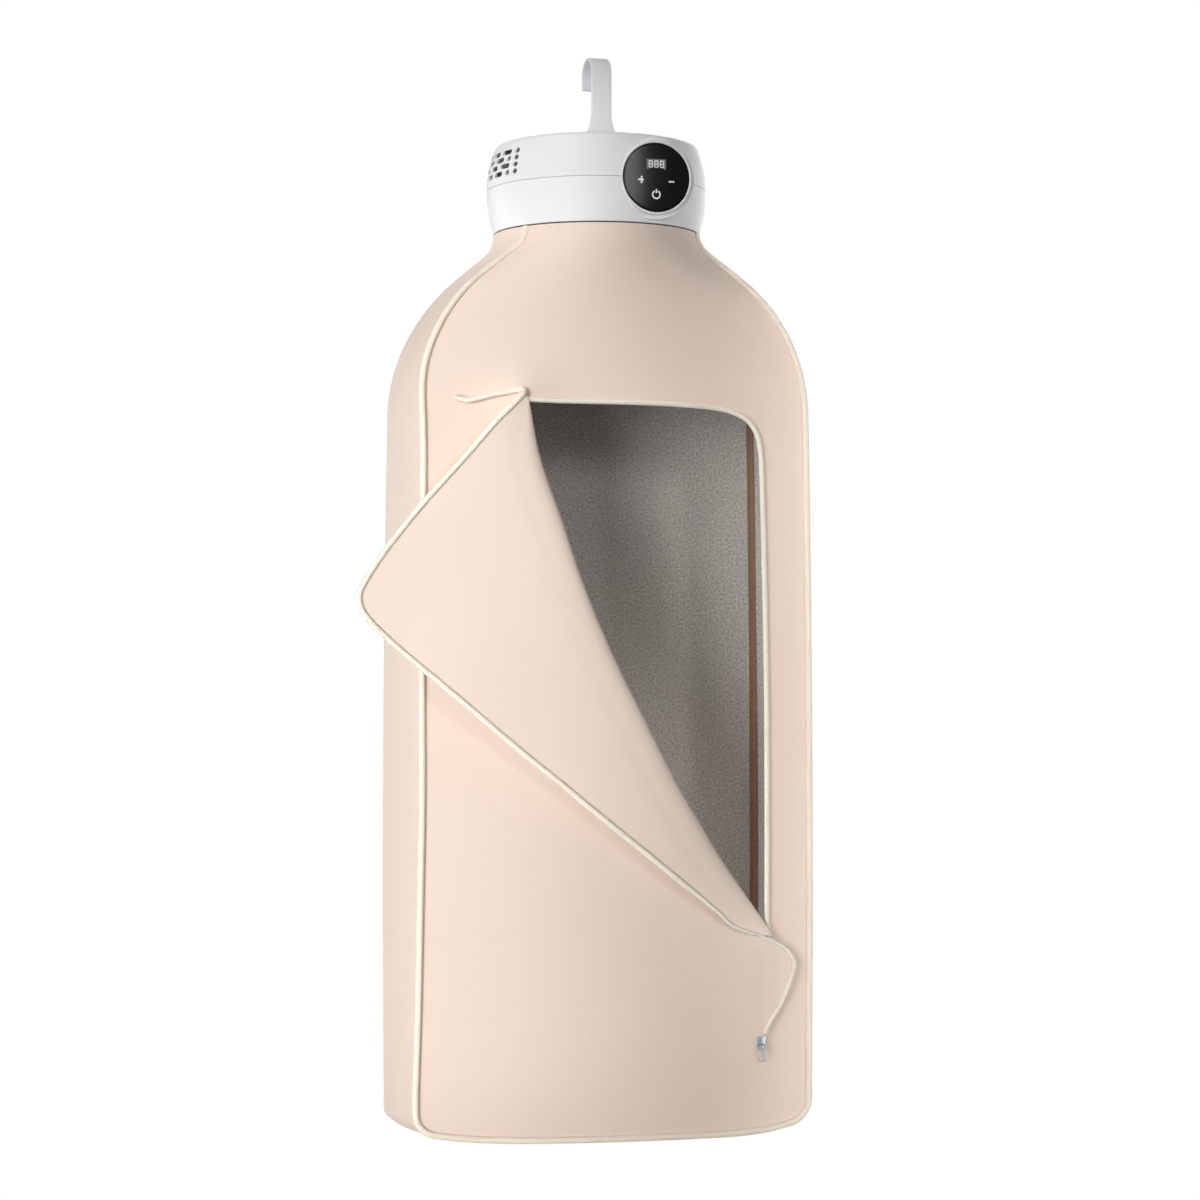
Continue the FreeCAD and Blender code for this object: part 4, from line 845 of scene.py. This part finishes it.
sliderLow, sliderHigh = [Vector(corner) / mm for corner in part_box("zip_slider")]
zipX = (sliderLow.x + sliderHigh.x) / 2
slider = {
    "half": 5.6, "plate": 1.3, "front": -91.7, "back": -82.4, "top": sliderHigh.z, "low": sliderLow.z + 0.2,
    "narrowed": 0.68, "webHalf": 0.8, "bridgeHalf": 1.3, "earX": 3.3, "earHalf": 0.7, "pinHalf": 3.8,
    "pinRadius": 0.6, "pinY": -93.5, "pinZ": -1060.4, "bevel": 0.45,
}
front, back, low, top = [slider[name] for name in ("front", "back", "low", "top")]
pinY, pinZ = slider["pinY"], slider["pinZ"]


def zipBlock(bm, half, depths, heights, taper=1, x=zipX):
    # A block about the zip's line, between two depths and two heights.
    addBlock(bm, (x - half, depths[0], heights[0]), (x + half, depths[1], heights[1]), taper)


sliderMesh = bmesh.new()
# The front and back plates, the web between them and the bridge on the front
zipBlock(sliderMesh, slider["half"], (front, front + slider["plate"]), (low, top), slider["narrowed"])
zipBlock(sliderMesh, slider["half"], (back - slider["plate"], back), (low, top), slider["narrowed"])
zipBlock(sliderMesh, slider["webHalf"], (front + 0.6, back - 0.6), (low + 6.5, top - 0.4))
zipBlock(sliderMesh, slider["bridgeHalf"], (front - 1.5, front + 0.4), (low + 3.2, top - 1.8))
# Two ears, and the pin that they hold
for side in (-1, 1):
    zipBlock(sliderMesh, slider["earHalf"], (pinY - 1.3, front + 0.5), (pinZ - 1.5, pinZ + 1.5),
             x=zipX + side * slider["earX"])
zipBlock(sliderMesh, slider["pinHalf"], (pinY - slider["pinRadius"], pinY + slider["pinRadius"]),
         (pinZ - slider["pinRadius"], pinZ + slider["pinRadius"]))
sliderPiece = soften(newPiece("zipSlider", sliderMesh, [zinc], "slider"), slider["bevel"])
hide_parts("zip_slider")

pull = {"half": 3.5, "thick": 1.2, "frame": 1.5, "top": pinZ - 2.4, "low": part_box("zip_pull")[0][2] / mm,
        "eyeHalf": 2.2, "eyeRadius": 1.1, "bevel": 0.35}
pullMesh = bmesh.new()
# A plate opened into a frame, and the eye round the pin
zipBlock(pullMesh, pull["half"], (pinY - pull["thick"] / 2, pinY + pull["thick"] / 2),
         (pull["low"], pull["top"]))
pullMesh.normal_update()
flats = [face for face in pullMesh.faces if abs(face.normal.y) > 0.9]
bmesh.ops.inset_individual(pullMesh, faces=flats, thickness=pull["frame"] * mm)
rims = [edge for face in flats for edge in face.edges]
bmesh.ops.delete(pullMesh, geom=flats, context="FACES_ONLY")
bmesh.ops.bridge_loops(pullMesh, edges=rims)
zipBlock(pullMesh, pull["eyeHalf"], (pinY - pull["eyeRadius"], pinY + pull["eyeRadius"]),
         (pull["top"] - 0.6, pinZ + 1.3))
pullPiece = soften(newPiece("zipPull", pullMesh, [zinc], "pull"), pull["bevel"])
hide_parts("zip_pull")

stops = {
    "start": (Vector(lead["points"][0]), Vector((1.3, 2.5, 2.7))),
    "end": (Vector((zipX + 2, -87, -1065.4)), Vector((4.6, 3, 1.1))), "bevel": 1.1,
}
stopMesh = bmesh.new()
for centre, half in (stops["start"], stops["end"]):
    addBlock(stopMesh, centre - half, centre + half)
stopPiece = soften(newPiece("zipStops", stopMesh, [zipCloth]), stops["bevel"], 4)
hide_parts("zip_stops")
print("zip ready")

# Inner trim: brown tape over the two back seams, and a cloth collar round the head's skirt

tape = {"turns": (52, 26, 0, 0), "flat": 2.4, "thick": 1.1, "top": -335, "low": frontCorner["z"] + 12,
        "wave": 0.4, "waveLength": 40, "gapArea": 0.0001}


def tapePlace(u, v):
    # Seven columns: three for each tape, and one between them that is cut away.
    column = round(u * 7)
    side = -1 if column < 4 else 1
    step = column if side < 0 else 7 - column
    z = mix(tape["low"], tape["top"], v)
    turn = math.radians(tape["turns"][step])
    lie = abs(noise.noise(Vector((side * 7, z / tape["waveLength"], 1.7)))) * tape["wave"]
    bend = backRound(z) - bag["cloth"] - tape["thick"] * 0.6 - lie
    x = seamX(z) - backRound(z) + bend * math.sin(turn) - (tape["flat"] if step == 3 else 0)
    return side * x + leanX(z), -seamY(z) - backRound(z) + bend * math.cos(turn), z


tapeMesh = gridMesh(7, 140, tapePlace)
between = [face for face in tapeMesh.faces if face.calc_area() > tape["gapArea"]]
bmesh.ops.delete(tapeMesh, geom=between, context="FACES")
bmesh.ops.recalc_face_normals(tapeMesh, faces=tapeMesh.faces)
tapes = thicken(newPiece("seamTapes", tapeMesh, [bindingCloth]), tape["thick"], 0)
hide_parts("seam_bindings")

collar = {"radius": 110.5, "top": -178.2, "low": -192, "thick": 1.3, "wave": 0.3, "waves": 9}


def collarPlace(u, v):
    turn = 2 * math.pi * u
    radius = collar["radius"] + collar["wave"] * math.sin(collar["waves"] * turn) * (1 - v)
    return radius * math.cos(turn), radius * math.sin(turn), mix(collar["low"], collar["top"], v)


def collarMap(u, v, place):
    return 2 * math.pi * collar["radius"] * u, place.z


collarMesh = gridMesh(120, 6, collarPlace, collarMap)
bmesh.ops.remove_doubles(collarMesh, verts=collarMesh.verts, dist=1e-6)
neckCollar = thicken(newPiece("neckCollar", collarMesh, [bagCloth]), collar["thick"], 0)
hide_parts("neck_collar")
print("inner trim ready")

# Hook: a strap with rounded edges that curls back over the rail and spreads into its foot

hook = {"rail": 17, "thick": 4, "width": 23, "tipDrop": 12, "footTop": -44, "footLow": -72.2, "footWidth": 42,
        "footFront": 23, "footBack": 11, "round": 1.7}


def hookRow(centre, out, half, thick, inset=0):
    return {"centre": Vector(centre), "out": Vector(out), "half": half - inset, "thick": thick - inset,
            "round": max(0.2, hook["round"] - inset)}


def hookRows():
    # Cross-sections from the foot over the top to the tip; centre and out are (y, z).
    half, thick = hook["width"] / 2, hook["thick"] / 2
    middle = hook["rail"] + thick
    rows = []
    for index in range(20):
        z = mix(hook["footLow"], hook["footTop"], index / 20)
        share = (1 - index / 20) ** 2
        front = mix(hook["rail"] + hook["thick"], hook["footFront"], share)
        back = mix(hook["rail"], hook["footBack"], share)
        wide = mix(half, hook["footWidth"] / 2, share)
        rows.append(hookRow((-(front + back) / 2, z), (-1, 0), wide, (front - back) / 2))
    for index in range(8):
        rows.append(hookRow((-middle, hook["footTop"] * (1 - index / 8)), (-1, 0), half, thick))
    for index in range(41):
        turn = math.pi * index / 40
        out = (-math.cos(turn), math.sin(turn))
        rows.append(hookRow((middle * out[0], middle * out[1]), out, half, thick))
    tipStart = hook["tipDrop"] - hook["round"]
    for index in range(1, 5):
        rows.append(hookRow((middle, -tipStart * index / 4), (1, 0), half, thick))
    for index in range(1, 6):
        turn = math.radians(18 * index)
        rows.append(hookRow((middle, -tipStart - hook["round"] * math.sin(turn)), (1, 0), half, thick,
                            hook["round"] * (1 - math.cos(turn)) * 0.9))
    return rows


hookSections = hookRows()
ringCount = 24


def ringPoint(u, half, thick, bend):
    # A point on a rounded rectangle, six to a corner, as u goes once round.
    corner, part = divmod(round(u * ringCount) % ringCount, 6)
    turn = math.radians(90 * corner + 18 * part)
    across = 1 if corner in (0, 3) else -1
    outward = 1 if corner in (0, 1) else -1
    return across * (half - bend) + bend * math.cos(turn), outward * (thick - bend) + bend * math.sin(turn)


def hookPlace(u, v):
    row = hookSections[round(v * (len(hookSections) - 1))]
    x, outward = ringPoint(u, row["half"], row["thick"], row["round"])
    spot = row["centre"] + row["out"] * outward
    return x, spot.x, spot.y


hookMesh = gridMesh(ringCount, len(hookSections) - 1, hookPlace)
bmesh.ops.remove_doubles(hookMesh, verts=hookMesh.verts, dist=1e-6)
bmesh.ops.holes_fill(hookMesh, edges=[edge for edge in hookMesh.edges if edge.is_boundary], sides=0)
bmesh.ops.recalc_face_normals(hookMesh, faces=hookMesh.faces)
hookPiece = newPiece("strapHook", hookMesh, [whitePlastic])
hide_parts("hook")
print("hook ready")

# Control panel: a bright ring, a domed black glass, the marks printed behind it, and the display's segments
# painted pale as lit

glassLow, glassHigh = [Vector(corner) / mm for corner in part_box("control_glass")]
ringLow, ringHigh = [Vector(corner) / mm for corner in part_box("control_bezel")]
dial = {
    "centre": Vector(((glassLow.x + glassHigh.x) / 2, 0, (glassLow.z + glassHigh.z) / 2)),
    "radius": (glassHigh.x - glassLow.x) / 2, "front": glassLow.y, "thick": glassHigh.y - glassLow.y,
    "dome": 0.6, "edge": 0.5, "ringRadius": (ringHigh.x - ringLow.x) / 2, "ringFront": ringLow.y,
    "ringDeep": ringHigh.y - ringLow.y, "ringGap": 0.1, "ringRound": 0.7, "steps": 128,
    "shelf": 3, "shelfRadius": 34.2, "sleeveRadius": 36, "flangeDeep": 9.7,
}


def lathe(profile, closed):
    # Turns (radius, height) points about the panel's axis; height is how far they stand towards the viewer.
    bm = bmesh.new()
    verts = [bm.verts.new((radius * mm, 0, height * mm)) for radius, height in profile]
    pairs = list(zip(verts, verts[1:])) + ([(verts[-1], verts[0])] if closed else [])
    edges = [bm.edges.new(pair) for pair in pairs]
    bmesh.ops.spin(bm, geom=verts + edges, cent=(0, 0, 0), axis=(0, 0, 1), angle=2 * math.pi,
                   steps=dial["steps"], use_merge=True)
    weld(bm)
    bmesh.ops.transform(bm, verts=bm.verts, matrix=Matrix.Translation(dial["centre"] * mm)
                        @ Matrix.Rotation(math.pi / 2, 4, "X"))
    return bm


def roundCorner(radius, height, bend, start, steps=5):
    # Points on a quarter circle about (radius, height), from the start angle on.
    return [(radius + bend * math.cos(math.radians(start + 90 * i / steps)),
             height + bend * math.sin(math.radians(start + 90 * i / steps))) for i in range(steps + 1)]


def glassHeight(radius):
    return -dial["front"] - dial["dome"] * (radius / dial["radius"]) ** 2


flatRadius = dial["radius"] - dial["edge"]
glassProfile = [(flatRadius * i / 12, glassHeight(flatRadius * i / 12)) for i in range(13)]
glassProfile += roundCorner(flatRadius, glassHeight(flatRadius) - dial["edge"], dial["edge"], 0)[-2::-1]
glassProfile += [(dial["radius"], -dial["front"] - dial["thick"]), (0, -dial["front"] - dial["thick"])]
glassPiece = newPiece("controlGlass", lathe(glassProfile, False), [blackGlass])
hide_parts("control_glass")

ringInner = dial["radius"] + dial["ringGap"]
bend = dial["ringRound"]
ringTop = -dial["ringFront"]
ringBack = ringTop - dial["ringDeep"]
flangeBack = ringTop - dial["flangeDeep"]
ringProfile = (roundCorner(dial["ringRadius"] - bend, ringTop - bend, bend, 0)
               + roundCorner(ringInner + bend, ringTop - bend, bend, 90)
               + [(ringInner, ringTop - dial["shelf"]), (dial["shelfRadius"], ringTop - dial["shelf"]),
                  (dial["shelfRadius"], ringBack), (dial["sleeveRadius"], ringBack),
                  (dial["sleeveRadius"], flangeBack), (dial["ringRadius"], flangeBack)])
ringPiece = newPiece("controlRing", lathe(ringProfile, True), [whitePlastic])
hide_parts("control_bezel")

marks = {
    "thick": 0.12, "stroke": 0.95, "digit": (3.7, 6.9), "pitch": 6.3, "display": (0, 14.3),
    "window": (21.4, 10.6), "plus": (-16.4, -2.8), "minus": (16.1, -3.9), "minusShare": 0.85,
    "keyLong": 7.8, "keyStroke": 1.9, "power": (0, -18.3), "powerRadius": 4.1, "powerStroke": 1.45,
    "powerGap": 56, "powerBar": 4.4, "barDrop": 0.4,
    # How far each stands off the glass, so that no two share a face
    "windowLift": 0.02, "lift": 0.03, "crossLift": 0.06, "segmentLift": 0.16,
}


def inkPlate(bm, outline, lift=marks["lift"]):
    # A thin plate on the glass, from an outline of (x, z) about the panel's centre.
    middle = sum((Vector(point) for point in outline), Vector((0, 0))) / len(outline)
    y = -glassHeight(middle.length) - lift
    face = bm.faces.new([bm.verts.new((dial["centre"] + Vector((x, y, z))) * mm) for x, z in outline])
    bmesh.ops.solidify(bm, geom=[face], thickness=marks["thick"] * mm)


def bar(centre, length, stroke, upright=False, point=0):
    # A bar's outline; point draws its two ends out to tips, as on a display's segment.
    x, z = centre
    half, side = length / 2, stroke / 2
    run = [(-half, 0), (-half + point, -side), (half - point, -side),
           (half, 0), (half - point, side), (-half + point, side)]
    if point == 0:
        run = [(-half, -side), (half, -side), (half, side), (-half, side)]
    return [(x + b, z + a) if upright else (x + a, z + b) for a, b in run]


# The display's segments are painted pale, standing in for lit ones: painted glow.
def segment(bm, x, z, length, upright):
    stroke = marks["stroke"]
    inkPlate(bm, bar((x, z), length, stroke, upright, stroke / 2), marks["segmentLift"])


windowMesh = bmesh.new()
inkPlate(windowMesh, bar(marks["display"], marks["window"][0], marks["window"][1]), marks["windowLift"])
markMesh = bmesh.new()
wide, tall = marks["digit"]
for digit in (-1, 0, 1):
    x, z = marks["display"][0] + digit * marks["pitch"], marks["display"][1]
    for level in (-1, 0, 1):
        segment(markMesh, x, z + level * tall / 2, wide, False)
    for side in (-1, 1):
        for level in (-1, 1):
            segment(markMesh, x + side * wide / 2, z + level * tall / 4, tall / 2, True)
inkPlate(markMesh, bar(marks["plus"], marks["keyLong"], marks["keyStroke"]))
inkPlate(markMesh, bar(marks["plus"], marks["keyLong"], marks["keyStroke"], True), marks["crossLift"])
inkPlate(markMesh, bar(marks["minus"], marks["keyLong"], marks["keyStroke"] * marks["minusShare"]))
powerX, powerZ = marks["power"]
gap = math.radians(marks["powerGap"])
arcSteps = 30
for index in range(arcSteps):
    turns = [math.pi / 2 + gap / 2 + (2 * math.pi - gap) * (index + end) / arcSteps for end in (0, 1)]
    radii = [marks["powerRadius"] + side * marks["powerStroke"] / 2 for side in (-1, 1)]
    corners = [(turns[0], radii[0]), (turns[0], radii[1]), (turns[1], radii[1]), (turns[1], radii[0])]
    inkPlate(markMesh, [(powerX + radius * math.cos(turn), powerZ + radius * math.sin(turn))
                        for turn, radius in corners])
inkPlate(markMesh, bar((powerX, powerZ + marks["powerRadius"] - marks["barDrop"]), marks["powerBar"],
                       marks["powerStroke"], True))
for name, mesh, ink in (("displayWindow", windowMesh, windowInk), ("controlMarks", markMesh, inkAndLitSegments)):
    weld(mesh, 1e-7)
    newPiece(name, mesh, [ink], smooth=False)
print("control panel ready")

# Camera at the photograph's place, looking 16 degrees past the front

cameraLook = {"place": (-0.8877, -3.1098, -0.6406), "yaw": 16, "pitch": 1.131, "lens": 88.2}
cameraData = bpy.data.cameras.new("camera")
cameraData.sensor_width = 36
cameraData.lens = cameraLook["lens"]
camera = bpy.data.objects.new("camera", cameraData)
camera.location = cameraLook["place"]
camera.rotation_euler = (math.radians(90 + cameraLook["pitch"]), 0, -math.radians(cameraLook["yaw"]))
scene.collection.objects.link(camera)
scene.camera = camera

# Studio: softboxes at both edges, small ones on the head, one each for the glass, the back and the inside

lamps = {
    "keyLamp": {"place": (-0.61, -0.52, -0.725), "aim": (-0.174, -0.1, -0.725), "width": 0.47, "height": 1.18,
                "spread": 56, "power": 2.16},
    "sideLamp": {"place": (-0.6, 0.45, -0.66), "aim": (-0.22, 0.11, -0.66), "width": 0.08, "height": 1.3,
                 "spread": 34, "power": 0.28},
    "headLamp": {"place": (-0.59, -0.38, 0.55), "aim": (-0.03, -0.06, -0.07), "width": 0.2, "height": 0.2,
                 "spread": 36, "power": 0.15},
    "rimLamp": {"place": (0.42, -0.12, -0.13), "aim": (0.11, -0.03, -0.14), "width": 0.1, "height": 0.15,
                "spread": 46, "power": 0.034},
    "edgeLamp": {"place": (0.36, -0.3, -0.65), "aim": (0.22, -0.08, -0.65), "width": 0.1, "height": 1.4,
                 "spread": 46, "power": 0.275},
    "sheenLamp": {"place": (0.52, -2.48, 0.32), "aim": (0, 0, -0.12), "width": 0.24, "height": 0.5,
                  "spread": 180, "power": 9.4},
    "backLamp": {"place": (0.9, 1.9, 0.2), "aim": (0, 0, -0.6), "width": 1.4, "height": 1.6,
                 "spread": 180, "power": 18},
    "insideLamp": {"place": (-0.13, -0.02, -0.88), "aim": (0.2, 0.05, -0.86), "width": 0.03, "height": 0.3,
                   "spread": 120, "power": 0.2},
}
for name, lamp in lamps.items():
    data = bpy.data.lights.new(name, "AREA")
    data.shape = "RECTANGLE"
    data.size = lamp["width"]
    data.size_y = lamp["height"]
    data.spread = math.radians(lamp["spread"])
    data.energy = lamp["power"]
    light = bpy.data.objects.new(name, data)
    light.location = lamp["place"]
    toAim = Vector(lamp["aim"]) - Vector(lamp["place"])
    light.rotation_euler = toAim.to_track_quat("-Z", "Y").to_euler()
    light.visible_camera = False
    scene.collection.objects.link(light)

scene.view_settings.view_transform = "Standard"
world = bpy.data.worlds.new("studio")
world.use_nodes = True
scene.world = world
worldTree = world.node_tree
worldTree.nodes.clear()
worldSeen = seenShare(worldTree)
ambient = addNode(worldTree, "ShaderNodeBackground", {"Color": toLinear("#FFFFFF"), "Strength": 0.09})
white = addNode(worldTree, "ShaderNodeBackground", {"Color": toLinear("#FFFFFF"), "Strength": 1})
mixed = addNode(worldTree, "ShaderNodeMixShader", {},
                {0: worldSeen, 1: ambient.outputs[0], 2: white.outputs[0]})
addNode(worldTree, "ShaderNodeOutputWorld", {}, {"Surface": mixed.outputs[0]})

# Floor: a pale disc below the bag, which the camera and mirrors see brighter than it is lit

floor = {"radius": 2, "z": -1.75, "colour": "#F4F4F4", "glow": 0.75}
floorMesh = bmesh.new()
bmesh.ops.create_circle(floorMesh, cap_ends=True, segments=96, radius=floor["radius"],
                        matrix=Matrix.Translation((0, 0, floor["z"])))
floorPaint, floorTree, floorShader = newMaterial("paleFloor", floor["colour"], {"Roughness": 0.9})
floorShare = addNode(floorTree, "ShaderNodeMath", {"operation": "MULTIPLY", 1: floor["glow"]},
                     {0: seenShare(floorTree)})
floorGlow = addNode(floorTree, "ShaderNodeEmission", {"Color": toLinear(floor["colour"]), "Strength": 1})
floorMix = addNode(floorTree, "ShaderNodeMixShader", {},
                   {0: floorShare.outputs[0], 1: floorShader.outputs[0], 2: floorGlow.outputs[0]})
floorTree.links.new(floorMix.outputs[0], floorTree.nodes["Material Output"].inputs["Surface"])
floorPiece = newPiece("floor", floorMesh, [floorPaint], body=None, smooth=False)
print("studio ready")
